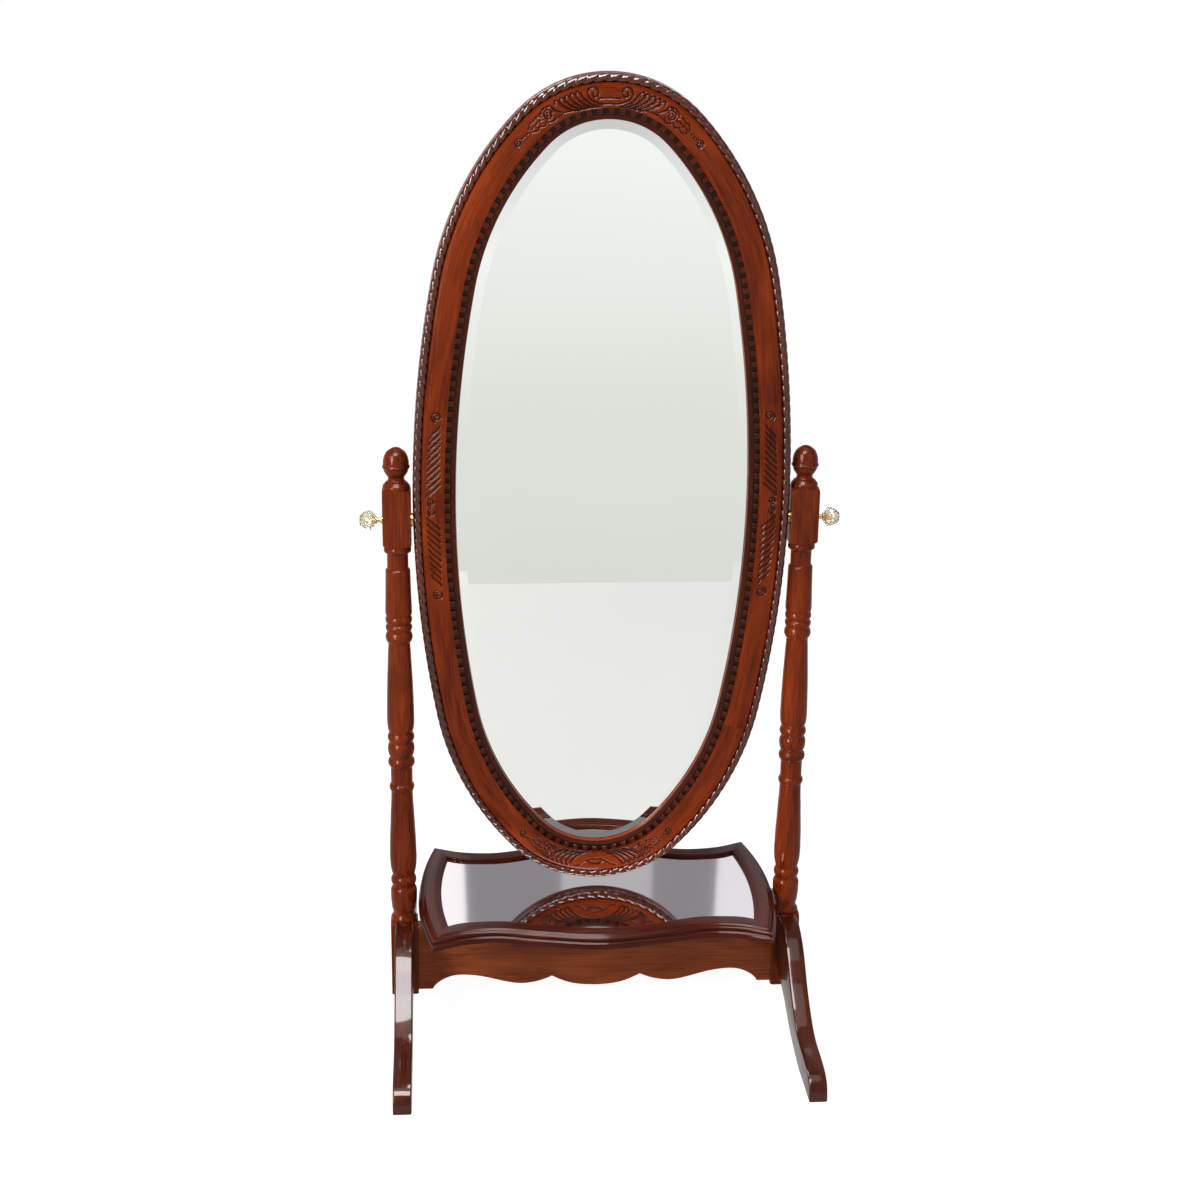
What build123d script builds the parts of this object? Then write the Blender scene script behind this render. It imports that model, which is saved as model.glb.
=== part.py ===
from build123d import *
from math import atan2, cos, degrees, pi, radians, sin, sqrt
import os

# Cheval mirror: two turned posts on sabre legs, a scalloped rail, a moulded platform and a tilting oval.
# The origin is on the floor midway between the posts, the front is towards -Y, and lengths are in mm.

# Stand
post_square = 44.0
post_bottom = 20.0
base_block_top = 150.0
block_below_pivot = 40.0
block_above_pivot = 49.5
finial_height = 66.0
swing_gap = 7.5
block_edge = 1.2

# Legs
leg_thickness = 28.5
leg_reach = 351.0
leg_joint_top = 146.0
leg_joint_bottom = 58.0
dowel_radius = 5.0
dowel_depth = 18.0
dowel_gap = 0.05
rail_dowel_radius = 4.0
rail_dowel_depth = 15.0

# Rail between the base blocks
apron_thickness = 23.5
apron_setback = 1.0
apron_end_top = 143.0
apron_shoulder_width = 32.5
apron_lobe_bottom = 28.0
apron_peak = 52.5
apron_cusp = 46.5
apron_waist = 34.0

# Platform
shelf_top = 198.2
shelf_thickness = 20.7
shelf_side_gap = 1.6
shelf_corner_y = 164.0
shelf_side_bow = 21.0
shelf_front_bulge = 171.0
shelf_front_waist = 141.0
shelf_waist_x = 184.0
shelf_ring_width = 30.0
shelf_bead_out = 5.8
shelf_foot_out = 8.4
shelf_glass_inset = 5.0
shelf_glass_thickness = 4.0
shelf_rebate_lip = 6.0
rebate_gap = 0.5

# Cross bearers
bearer_x = 170.0
bearer_width = 40.0
bearer_thickness = 20.0
bearer_half_length = 125.0
bearer_taper = 35.0
bearer_tip = 7.0
screw_radius = 2.0
screw_bite = 10.0
bearer_screw_y = (-108.0, 108.0)

# Oval frame, measured from its back face and inwards from its outer edge
oval_half_width = 292.0
oval_half_height = 650.2
oval_end_radius = 187.0
oval_shoulder_radius = 480.0
oval_side_angle = 10.6
oval_rise = 25.4
rest_tilt = 3.33
frame_thickness = 28.0
pivot_from_back = 8.5
rope_width = 13.5
rope_seat = 14.5
rope_inset = 0.3
rope_rise = 0.4
rope_seat_gap = 0.15
rope_cut = 1.7
rope_lay = 1.25
rope_lean = 0.4
rope_facets = 4
rope_lobes_per_length = 46
rope_stations = (0.0, 0.3, 0.7)
groove_width = 1.8
groove_depth = 2.2
face_inner = 49.0
face_drop = 1.2
dentil_seat = 19.0
dentil_strip = 3.0
dentil_height = 4.2
dentil_width = 8.6
dentil_length = 8.6
dentil_count = 172
sight_inset = 65.8
lip_back = 15.6
glass_inset = 60.0
glass_thickness = 5.0
glass_edge = 3.0
bevel_width = 20.0
board_thickness = 8.0
button_rebate = 44.0
button_count = 10
button_length = 24.0
button_width = 12.0
button_thickness = 2.5
screw_offset = 6.5
button_screw_bite = 9.0
button_screw_head = 1.2
button_screw_head_radius = 3.2

# Pivot hardware
rod_radius = 3.5
running_gap = 0.06
bore_gap = 0.5
washer_radius = 11.0
washer_thickness = 2.5
insert_radius = 5.0
insert_length = 25.0
rod_end_gap = 2.0
shank_length = 10.5
knob_radius = 15.0
knob_length = 24.5
knob_neck = 8.0
knob_sides = 10
rod_in_knob = 14.0

post_x = oval_half_width + washer_thickness + post_square / 2
block_inner = post_x - post_square / 2
block_outer = post_x + post_square / 2
apron_front = -post_square / 2 + apron_setback
apron_back = apron_front + apron_thickness
apron_shoulder = block_inner - apron_shoulder_width
shelf_bottom = shelf_top - shelf_thickness
shelf_corner_x = block_inner - shelf_side_gap - shelf_foot_out - shelf_side_bow
pivot_height = shelf_top + swing_gap + oval_half_height - oval_rise
pivot_block_bottom = pivot_height - block_below_pivot
pivot_block_top = pivot_height + block_above_pivot
finial_top = pivot_block_top + finial_height
os.makedirs("parts", exist_ok=True)


# Turned length between the blocks: height above the base block and diameter, drawn on a shaft of
# this length and let out or drawn in to the real one; then the finial, from the top of its block
turning_length = 640.5
shaft_turning = [
    (1.0, 43.0), (5.0, 42.6), (12.0, 35.4), (19.0, 38.0), (24.6, 40.1), (37.0, 42.4), (44.6, 42.7),
    (53.6, 42.3), (62.3, 36.6), (67.0, 39.6), (71.0, 41.3), (75.0, 39.6), (80.3, 35.8), (86.0, 38.4),
    (95.0, 41.5), (104.0, 42.9), (113.0, 43.4), (140.0, 42.4), (175.0, 39.2), (210.0, 35.7),
    (226.0, 34.9), (231.0, 36.6), (235.5, 40.3), (240.0, 38.4), (244.0, 34.7), (269.0, 34.7),
    (273.0, 38.0), (278.6, 42.7), (284.0, 40.6), (288.0, 36.9), (292.5, 39.7), (296.0, 41.6),
    (302.7, 42.9), (308.5, 41.2), (313.3, 37.7), (317.5, 41.0), (321.6, 43.0), (326.0, 41.0),
    (330.5, 37.8), (334.0, 40.2), (339.0, 42.1), (346.0, 43.2), (352.0, 43.6), (383.0, 42.5),
    (417.0, 40.4), (451.0, 37.2), (467.6, 35.8), (478.5, 34.6), (484.0, 38.2), (490.5, 42.7),
    (495.5, 40.8), (500.0, 37.8), (503.5, 40.6), (507.0, 41.9), (512.0, 37.2), (516.0, 40.4),
    (520.0, 42.0), (525.5, 39.1), (531.0, 41.9), (559.0, 40.4), (591.0, 38.9), (599.3, 38.7),
    (604.5, 33.0), (627.0, 33.0), (628.7, 35.5), (633.0, 42.6), (637.5, 41.0),
]
finial_turning_height = 66.0
finial_turning = [
    (4.5, 42.0), (7.5, 39.7), (10.7, 34.9), (14.0, 25.5), (19.0, 25.5), (23.3, 31.4), (26.5, 35.2),
    (32.8, 39.1), (35.5, 42.6), (38.0, 39.8), (45.4, 39.2), (51.7, 35.9), (57.9, 29.6), (62.6, 18.0),
]


# Square block with shoulders rounded by the turning at the ends that meet a turned length
def make_block(bottom, top, round_bottom, round_top):
    corner = post_square / 2 * sqrt(2)
    shoulder = corner - post_square / 2
    with BuildPart() as block:
        with BuildSketch(Plane.XY.offset(bottom)):
            Rectangle(post_square, post_square)
        extrude(amount=top - bottom)
        chamfer(block.edges().filter_by(Axis.Z), block_edge)
        with BuildSketch(Plane.XZ):
            with BuildLine():
                low = Line((0, bottom), (corner - shoulder * round_bottom, bottom))
                lower_arc = TangentArc(
                    low @ 1, (corner, bottom + shoulder * 1.1 * round_bottom), tangent=(1, 0)
                ) if round_bottom else None
                high_start = (corner, top - shoulder * 1.1 * round_top)
                Line(lower_arc @ 1 if lower_arc else low @ 1, high_start)
                if round_top:
                    TangentArc(high_start, (corner - shoulder, top), tangent=(0, 1))
                Line((corner - shoulder * round_top, top), (0, top))
                Line((0, top), (0, bottom))
            make_face()
        revolve(axis=Axis.Z, mode=Mode.INTERSECT)
    return block.part


# Length of turning through the listed diameters, closed on the axis at both ends
def make_turning(points, stretch, bottom, top, top_diameter):
    with BuildPart() as turned:
        with BuildSketch(Plane.XZ):
            with BuildLine():
                outline = [(0, bottom), (points[0][1] / 2, bottom)]
                outline += [(diameter / 2, bottom + rise * stretch) for rise, diameter in points]
                outline.append((top_diameter / 2, top))
                if top_diameter > 0:
                    outline.append((0, top))
                Polyline(*outline, close=True)
            make_face()
        revolve(axis=Axis.Z)
    return turned.part


lower_block = make_block(post_bottom, base_block_top, 0, 1)
upper_block = make_block(pivot_block_bottom, pivot_block_top, 1, 1)
shaft_stretch = (pivot_block_bottom - base_block_top) / turning_length
shaft = make_turning(shaft_turning, shaft_stretch, base_block_top, pivot_block_bottom, shaft_turning[-1][1])
finial = make_turning(finial_turning, finial_height / finial_turning_height, pivot_block_top, finial_top, 0)


# Level of a dowel row, two to a joint, inside the height where the leg meets the block
dowel_heights = [
    leg_joint_bottom + (leg_joint_top - leg_joint_bottom) * share for share in (0.27, 0.73)
]
apron_dowel_heights = [apron_lobe_bottom + (apron_end_top - apron_lobe_bottom) * share for share in (0.25, 0.75)]
apron_middle = (apron_front + apron_back) / 2

for side, name in ((-1, "left_post"), (1, "right_post")):
    with BuildPart() as post:
        with Locations((side * post_x, 0, 0)):
            add(lower_block)
            add(upper_block)
            add(shaft)
            add(finial)
        with Locations(Plane.YZ.offset(side * post_x) * Location((0, pivot_height, 0))):
            Cylinder(rod_radius + running_gap, post_square * 1.2, mode=Mode.SUBTRACT)
        for face in (-1, 1):
            for height in dowel_heights:
                hole_y = face * (post_square - dowel_depth) / 2
                with Locations(Plane((side * post_x, hole_y, height), z_dir=(0, 1, 0))):
                    Cylinder(dowel_radius + dowel_gap, dowel_depth, mode=Mode.SUBTRACT)
        for height in apron_dowel_heights:
            hole_x = side * (block_inner + rail_dowel_depth / 2)
            with Locations(Plane((hole_x, apron_middle, height), z_dir=(1, 0, 0))):
                Cylinder(rail_dowel_radius + dowel_gap, rail_dowel_depth, mode=Mode.SUBTRACT)
    post.part.label = name
    export_step(post.part, f"parts/{name}.step")


# Sabre leg, drawn in YZ with the front leg towards -Y. Both lines are listed as the distance out from
# the post's face and the height, for a leg of the drawn length, and spread to the real one.
leg_drawn_length = 329.0
leg_top_line = [
    (38, 153.5), (64, 145), (82, 136), (102, 121), (138, 86), (174, 62), (207, 47), (240, 42.5),
    (278, 40.5), (306, 36),
]
leg_under_line = [(228, 0), (183, 8), (142, 18), (87, 40), (48, 50)]


def make_leg(side, face):
    seat = post_square / 2
    spread = (leg_reach - seat) / leg_drawn_length
    top_line = [(seat + out * spread, height) for out, height in leg_top_line]
    under_line = [(seat + out * spread, height) for out, height in leg_under_line]
    near_side = side * post_x - leg_thickness / 2
    with BuildPart() as leg:
        with BuildSketch(Plane((near_side, 0, 0), x_dir=(0, face, 0), z_dir=(face, 0, 0))):
            with BuildLine():
                Line((seat, leg_joint_bottom), (seat, base_block_top + 2))
                Spline((seat, base_block_top + 2), *top_line, tangents=((1, 0.15), (1, -0.3)))
                toe = ThreePointArc(top_line[-1], (leg_reach - 7 * spread, 24), (leg_reach, 6))
                Line(toe @ 1, (leg_reach, 0))
                Line((leg_reach, 0), under_line[0])
                Spline(*under_line, (seat, leg_joint_bottom), tangents=((-1, 0.12), (-1, 0.15)))
            make_face()
        extrude(amount=leg_thickness * face)
        for height in dowel_heights:
            hole_y = face * (post_square + dowel_depth) / 2
            with Locations(Plane((side * post_x, hole_y, height), z_dir=(0, 1, 0))):
                Cylinder(dowel_radius + dowel_gap, dowel_depth, mode=Mode.SUBTRACT)
    return leg.part


for side, side_name in ((-1, "left"), (1, "right")):
    for face, face_name in ((-1, "front"), (1, "back")):
        leg_part = make_leg(side, face)
        leg_part.label = f"{side_name}_{face_name}_leg"
        export_step(leg_part, f"parts/{side_name}_{face_name}_leg.step")

with BuildPart() as leg_dowels:
    for side in (-1, 1):
        for face in (-1, 1):
            for height in dowel_heights:
                with Locations(Plane((side * post_x, face * post_square / 2, height), z_dir=(0, 1, 0))):
                    Cylinder(dowel_radius, 2 * dowel_depth - 1)
leg_dowels.part.label = "leg_dowels"
export_step(leg_dowels.part, "parts/leg_dowels.step")


# Point on the rail's lower edge, drawn for a rail of this half length and spread to the real one
rail_drawn_half = 294.5


def rail_point(side, drawn_x, height):
    return (side * drawn_x * block_inner / rail_drawn_half, height)


# Scalloped rail, its lower edge in arcs between flat end lobes
with BuildPart() as apron:
    with BuildSketch(Plane.XZ.offset(-apron_back)):
        with BuildLine():
            for side in (-1, 1):
                lobe = rail_point(side, 271, apron_lobe_bottom)
                step = rail_point(side, 257, 43)
                slope = rail_point(side, 190, 49)
                cusp = rail_point(side, 73.5, apron_cusp)
                Line((side * block_inner, apron_end_top), (side * block_inner, apron_lobe_bottom))
                Line((side * block_inner, apron_lobe_bottom), lobe)
                ThreePointArc(lobe, rail_point(side, 266, 35), step)
                ThreePointArc(step, rail_point(side, 226, apron_peak), slope)
                Spline(
                    slope, rail_point(side, 155, 39.5), rail_point(side, 123, apron_waist),
                    rail_point(side, 95, 37.5), cusp,
                )
                Spline(
                    cusp, rail_point(side, 40, 32.5), (0, apron_lobe_bottom),
                    tangents=((-side, -0.45), (-side, 0)),
                )
                Line((side * block_inner, apron_end_top), (side * apron_shoulder, apron_end_top))
                Line((side * apron_shoulder, apron_end_top), (side * apron_shoulder, shelf_bottom))
                Line((side * apron_shoulder, shelf_bottom), (0, shelf_bottom))
        make_face()
    extrude(amount=apron_thickness)
    for side in (-1, 1):
        with Locations((side * bearer_x, apron_middle, shelf_bottom - bearer_thickness / 4)):
            Box(bearer_width, apron_thickness * 1.2, bearer_thickness / 2, mode=Mode.SUBTRACT)
        for height in apron_dowel_heights:
            hole_x = side * (block_inner - rail_dowel_depth / 2)
            with Locations(Plane((hole_x, apron_middle, height), z_dir=(1, 0, 0))):
                Cylinder(rail_dowel_radius + dowel_gap, rail_dowel_depth, mode=Mode.SUBTRACT)
apron.part.label = "apron"
export_step(apron.part, "parts/apron.step")

with BuildPart() as apron_dowels:
    for side in (-1, 1):
        for height in apron_dowel_heights:
            with Locations(Plane((side * block_inner, apron_middle, height), z_dir=(1, 0, 0))):
                Cylinder(rail_dowel_radius, 2 * rail_dowel_depth - 1)
apron_dowels.part.label = "apron_dowels"
export_step(apron_dowels.part, "parts/apron_dowels.step")


# Outline of the platform, offset outwards (or inwards where negative) from its top edge
def shelf_outline(out, level):
    corner_x = shelf_corner_x + out
    corner_y = shelf_corner_y + out
    waist = shelf_front_waist + out
    bulge = shelf_front_bulge + out
    with BuildSketch(Plane.XY.offset(level)) as outline:
        with BuildLine():
            for face in (-1, 1):
                Spline(
                    (-corner_x, face * corner_y), (-shelf_waist_x, face * waist), (0, face * bulge),
                    (shelf_waist_x, face * waist), (corner_x, face * corner_y),
                    tangents=((1, -face * 0.5), (1, face * 0.5)),
                )
            for side in (-1, 1):
                middle = (side * (corner_x + shelf_side_bow), 0)
                ThreePointArc((side * corner_x, -corner_y), middle, (side * corner_x, corner_y))
        make_face()
    return outline.sketch


# Solid slab of that outline between two levels
def shelf_slab(out, low, high):
    with BuildPart() as slab:
        add(shelf_outline(out, low))
        extrude(amount=high - low)
    return slab.part


inner_out = -shelf_ring_width
glass_top = shelf_top - shelf_glass_inset
glass_bottom = glass_top - shelf_glass_thickness
glass_out = inner_out + shelf_rebate_lip
with BuildPart() as shelf_frame:
    add(shelf_slab(0.0, shelf_top - 3.0, shelf_top))
    add(shelf_slab(shelf_bead_out, shelf_top - 9.0, shelf_top - 3.0))
    add(shelf_slab(shelf_bead_out - 1.5, shelf_top - 11.0, shelf_top - 9.0))
    add(shelf_slab(shelf_foot_out, shelf_bottom, shelf_top - 11.0))
    add(shelf_slab(inner_out + 3.0, shelf_top - 2.0, shelf_top), mode=Mode.SUBTRACT)
    add(shelf_slab(inner_out, glass_top, shelf_top - 2.0), mode=Mode.SUBTRACT)
    add(shelf_slab(glass_out + rebate_gap, shelf_bottom, glass_top), mode=Mode.SUBTRACT)
shelf_frame.part.label = "shelf_frame"
export_step(shelf_frame.part, "parts/shelf_frame.step")

shelf_glass = shelf_slab(glass_out, glass_bottom, glass_top)
shelf_glass.label = "shelf_glass"
export_step(shelf_glass, "parts/shelf_glass.step")

with BuildPart() as shelf_board:
    add(shelf_slab(glass_out, shelf_bottom, glass_bottom))
shelf_board.part.label = "shelf_board"
export_step(shelf_board.part, "parts/shelf_board.step")


# Cross bearer, thinned towards its ends and halved over the rail
def make_bearer(side):
    with BuildPart() as bearer:
        with BuildSketch(Plane.YZ.offset(side * bearer_x - bearer_width / 2)):
            with BuildLine():
                end = bearer_half_length
                start = end - bearer_taper
                Polyline(
                    (-end, shelf_bottom), (end, shelf_bottom), (end, shelf_bottom - bearer_tip),
                    (start, shelf_bottom - bearer_thickness), (-start, shelf_bottom - bearer_thickness),
                    (-end, shelf_bottom - bearer_tip), close=True,
                )
            make_face()
        extrude(amount=bearer_width)
        with Locations((side * bearer_x, apron_middle, shelf_bottom - bearer_thickness * 0.75)):
            Box(bearer_width * 1.2, apron_thickness, bearer_thickness / 2, mode=Mode.SUBTRACT)
        for y in bearer_screw_y:
            with Locations((side * bearer_x, y, shelf_bottom - bearer_thickness / 2)):
                Cylinder(screw_radius + dowel_gap, bearer_thickness * 2, mode=Mode.SUBTRACT)
    return bearer.part


for side, name in ((-1, "left_bearer"), (1, "right_bearer")):
    bearer_part = make_bearer(side)
    bearer_part.label = name
    export_step(bearer_part, f"parts/{name}.step")


# Plane of the frame's back face, leaning forward at the top about the pivot axis
lean = radians(rest_tilt)
frame_normal = Vector(0, -cos(lean), -sin(lean))
back_origin = Vector(0, 0, pivot_height) - frame_normal * pivot_from_back
back_plane = Plane(origin=back_origin, x_dir=(1, 0, 0), z_dir=frame_normal)

# Eight-centred oval: two long side arcs, four shoulder arcs and two end arcs, tangent where they meet.
# The side arcs' radius is the one that lets the shoulder arcs touch the end arcs.
side_turn = radians(oval_side_angle)
end_y = oval_half_height - oval_end_radius
across = oval_half_width - oval_shoulder_radius
slack = 1 - cos(side_turn)
half_b = slack * across + sin(side_turn) * end_y
spare = across**2 + end_y**2 - (oval_shoulder_radius - oval_end_radius) ** 2
square_a = slack**2 + sin(side_turn) ** 2
side_over_shoulder = (half_b - sqrt(half_b**2 - square_a * spare)) / square_a
oval_side_radius = oval_shoulder_radius + side_over_shoulder
side_x = oval_half_width - oval_side_radius
shoulder_x = side_x + side_over_shoulder * cos(side_turn)
shoulder_y = side_over_shoulder * sin(side_turn)
end_turn = atan2(end_y - shoulder_y, -shoulder_x)

# Each arc as its centre, radius, first and last direction, going once round against the clock
oval_arcs = [
    (side_x, 0.0, oval_side_radius, -side_turn, side_turn),
    (shoulder_x, shoulder_y, oval_shoulder_radius, side_turn, end_turn),
    (0.0, end_y, oval_end_radius, end_turn, pi - end_turn),
    (-shoulder_x, shoulder_y, oval_shoulder_radius, pi - end_turn, pi - side_turn),
    (-side_x, 0.0, oval_side_radius, pi - side_turn, pi + side_turn),
    (-shoulder_x, -shoulder_y, oval_shoulder_radius, pi + side_turn, pi + end_turn),
    (0.0, -end_y, oval_end_radius, pi + end_turn, 2 * pi - end_turn),
    (shoulder_x, -shoulder_y, oval_shoulder_radius, -end_turn, -side_turn),
]


# Arc and outward direction at a distance along one of the oval's inset lines
def oval_at(distance, inset):
    for centre_x, centre_y, radius, first, last in oval_arcs:
        length = (radius - inset) * (last - first)
        if distance <= length:
            break
        distance -= length
    turn = first + min(distance / (radius - inset), last - first)
    return centre_x, centre_y + oval_rise, radius, turn


def oval_length(inset):
    return sum((radius - inset) * (last - first) for _, _, radius, first, last in oval_arcs)


# Oval slab between two levels above the frame's back face
def oval_slab(inset, low, high):
    with BuildPart() as slab:
        with BuildSketch(back_plane.offset(low)):
            with BuildLine():
                for centre_x, centre_y, radius, first, last in oval_arcs:
                    stops = [
                        (
                            centre_x + (radius - inset) * cos(turn),
                            centre_y + oval_rise + (radius - inset) * sin(turn),
                        )
                        for turn in (first, (first + last) / 2, last)
                    ]
                    ThreePointArc(*stops)
            make_face()
        extrude(amount=high - low)
    return slab.part


# Oval ring of one section, drawn as inset and level, turned about the centre of each arc in turn
def oval_ring(section, curved=None):
    curved = curved or {}
    with BuildPart() as ring:
        for centre_x, centre_y, radius, first, last in oval_arcs:
            centre = back_plane.from_local_coords((centre_x, centre_y + oval_rise, 0))
            start = (centre_x + cos(first), centre_y + oval_rise + sin(first), 0)
            out = back_plane.from_local_coords(start) - centre
            with BuildSketch(Plane(origin=centre, x_dir=out, z_dir=out.cross(frame_normal))):
                with BuildLine():
                    for number, (inset, level) in enumerate(section):
                        next_inset, next_level = section[(number + 1) % len(section)]
                        start = (radius - inset, level)
                        end = (radius - next_inset, next_level)
                        if number in curved:
                            ThreePointArc(start, (radius - curved[number][0], curved[number][1]), end)
                        else:
                            Line(start, end)
                make_face()
            revolve(axis=Axis(centre, frame_normal), revolution_arc=degrees(last - first))
    return ring.part


glass_back = lip_back - glass_edge - (sight_inset - glass_inset) / bevel_width * (glass_thickness - glass_edge)
board_back = glass_back - board_thickness
face_edge = frame_thickness - face_drop
groove_inner = rope_width + groove_width
insert_x = oval_half_width - insert_length * 0.75


# Places of the turn buttons, evenly spaced along the edge of the board and square to it
def button_places():
    places = []
    for number in range(button_count):
        distance = (number + 0.5) * oval_length(glass_inset) / button_count
        centre_x, centre_y, radius, turn = oval_at(distance, glass_inset)
        reach = radius - glass_inset
        places.append((centre_x + reach * cos(turn), centre_y + reach * sin(turn), degrees(turn)))
    return places


def button_screw_places(level):
    return [
        back_plane * Location((x + screw_offset * cos(radians(a)), y + screw_offset * sin(radians(a)), level))
        for x, y, a in button_places()
    ]


frame_section = [
    (0.0, 0.0), (0.0, rope_seat), (rope_width, rope_seat), (rope_width, face_edge - groove_depth),
    (groove_inner, face_edge - groove_depth), (groove_inner, face_edge), (face_inner, face_edge),
    (face_inner, dentil_seat), (sight_inset, dentil_seat), (sight_inset, lip_back),
    (glass_inset - rebate_gap, lip_back), (glass_inset - rebate_gap, board_back), (button_rebate, board_back),
    (button_rebate, 0.0),
]
with BuildPart() as oval_frame:
    add(oval_ring(frame_section, {5: ((groove_inner + face_inner) / 2, frame_thickness)}))
    for side in (-1, 1):
        with Locations(Plane((side * oval_half_width, 0, pivot_height), z_dir=(1, 0, 0))):
            Cylinder(rod_radius + bore_gap, 2 * insert_length, mode=Mode.SUBTRACT)
        with Locations(Plane((side * insert_x, 0, pivot_height), z_dir=(1, 0, 0))):
            Cylinder(insert_radius, insert_length / 2, mode=Mode.SUBTRACT)
    with Locations(*button_screw_places(board_back + button_screw_bite / 2)):
        Cylinder(screw_radius + dowel_gap, button_screw_bite + 1.0, mode=Mode.SUBTRACT)
oval_frame.part.label = "oval_frame"
export_step(oval_frame.part, "parts/oval_frame.step")

# Rope bead in the outer front corner, dentil strip at the sight edge, bevelled plate and its board
rope_top = frame_thickness + rope_rise
rope_half = (rope_width - rope_seat_gap - rope_inset) / 2
rope_middle = rope_inset + rope_half
rope_side_top = rope_top - (rope_width - rope_inset) / 2
rope_length = oval_length(rope_middle)


# Rope section at a distance along the bead: half a round on straight sides, drawn in where a hollow
# crosses it, in a plane slanted along the bead so that the hollows lie across it like a rope's lay
def rope_section(distance, depth):
    centre_x, centre_y, radius, turn = oval_at(distance % rope_length, rope_middle)
    out = Vector(cos(turn), sin(turn), 0)
    along = Vector(-sin(turn), cos(turn), 0)
    centre = Vector(centre_x, centre_y, 0) + out * (radius - rope_middle)
    corners = [(rope_half, rope_seat), (-rope_half, rope_seat)]
    for number in range(rope_facets + 1):
        share = number / rope_facets
        reach = rope_half - depth * (1 if 0 < share < 1 else 1 - share)
        corners.append((-reach * cos(pi * share), rope_side_top + reach * sin(pi * share)))
    points = []
    for inward, level in corners:
        shift = rope_lay * inward + rope_lean * (level - rope_side_top)
        points.append(back_plane.from_local_coords(centre - out * inward + along * shift + Vector(0, 0, level)))
    return Face(Wire.make_polygon(points))


# Rope moulding in four lengths, butted end to end. The oval and the lay are the same after half a
# turn, so the two lengths of one half are made and turned about the middle for the other half.
rope_step = rope_length / (4 * rope_lobes_per_length)
oval_middle = back_plane.from_local_coords((0, oval_rise, 0))
with BuildPart() as rope_moulding:
    for length in range(2):
        sections = []
        for number in range(rope_lobes_per_length):
            for phase in rope_stations:
                lobe = length * rope_lobes_per_length + number + phase
                sections.append(rope_section(lobe * rope_step, 0 if phase else rope_cut))
        sections.append(rope_section((length + 1) * rope_lobes_per_length * rope_step, rope_cut))
        loft(sections, ruled=True)
    add(rope_moulding.part.rotate(Axis(oval_middle, frame_normal), 180))
rope_moulding.part.label = "rope_moulding"
export_step(rope_moulding.part, "parts/rope_moulding.step")

# Dentil moulding: a strip with square blocks left standing by gaps cut across its raised edge
strip_top = dentil_seat + dentil_strip
block_top = strip_top + dentil_height
block_inner_edge = face_inner + dentil_width
block_line = face_inner + dentil_width / 2
dentil_pitch = oval_length(block_line) / dentil_count
with BuildPart() as dentil_moulding:
    add(oval_ring([
        (face_inner, dentil_seat), (face_inner, block_top), (block_inner_edge, block_top),
        (block_inner_edge, strip_top), (sight_inset - 1.0, strip_top - 1.0), (sight_inset, dentil_seat),
    ]))
    with BuildPart(mode=Mode.PRIVATE) as gaps:
        with BuildSketch(back_plane.offset(strip_top)):
            for number in range(dentil_count):
                centre_x, centre_y, radius, turn = oval_at((number + 0.5) * dentil_pitch, block_line)
                gap_x = centre_x + (radius - block_line) * cos(turn)
                gap_y = centre_y + (radius - block_line) * sin(turn)
                with Locations(Location((gap_x, gap_y, 0), (0, 0, degrees(turn)))):
                    Rectangle(dentil_width + 1.0, dentil_pitch - dentil_length)
        extrude(amount=dentil_height + 1.0)
    add(gaps.part, mode=Mode.SUBTRACT)
dentil_moulding.part.label = "dentil_moulding"
export_step(dentil_moulding.part, "parts/dentil_moulding.step")

with BuildPart() as mirror_glass:
    add(oval_slab(glass_inset + bevel_width, glass_back, glass_back + glass_thickness))
    add(oval_ring([
        (glass_inset, glass_back), (glass_inset, glass_back + glass_edge),
        (glass_inset + bevel_width, glass_back + glass_thickness), (glass_inset + bevel_width, glass_back),
    ]))
mirror_glass.part.label = "mirror_glass"
export_step(mirror_glass.part, "parts/mirror_glass.step")

back_board = oval_slab(glass_inset, board_back, glass_back)
back_board.label = "back_board"
export_step(back_board, "parts/back_board.step")

with BuildPart() as turn_buttons:
    with BuildSketch(back_plane.offset(board_back)):
        for x, y, outward in button_places():
            with Locations(Location((x, y, 0), (0, 0, outward))):
                SlotOverall(button_length, button_width)
    extrude(amount=-button_thickness)
    with Locations(*button_screw_places(board_back)):
        Cylinder(screw_radius + dowel_gap, button_thickness * 3, mode=Mode.SUBTRACT)
turn_buttons.part.label = "turn_buttons"
export_step(turn_buttons.part, "parts/turn_buttons.step")

with BuildPart() as turn_button_screws:
    with Locations(*button_screw_places(board_back - button_thickness / 2 + button_screw_bite / 2)):
        Cylinder(screw_radius, button_thickness + button_screw_bite)
    with Locations(*button_screw_places(board_back - button_thickness - button_screw_head / 2)):
        Cylinder(button_screw_head_radius, button_screw_head)
turn_button_screws.part.label = "turn_button_screws"
export_step(turn_button_screws.part, "parts/turn_button_screws.step")


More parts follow.
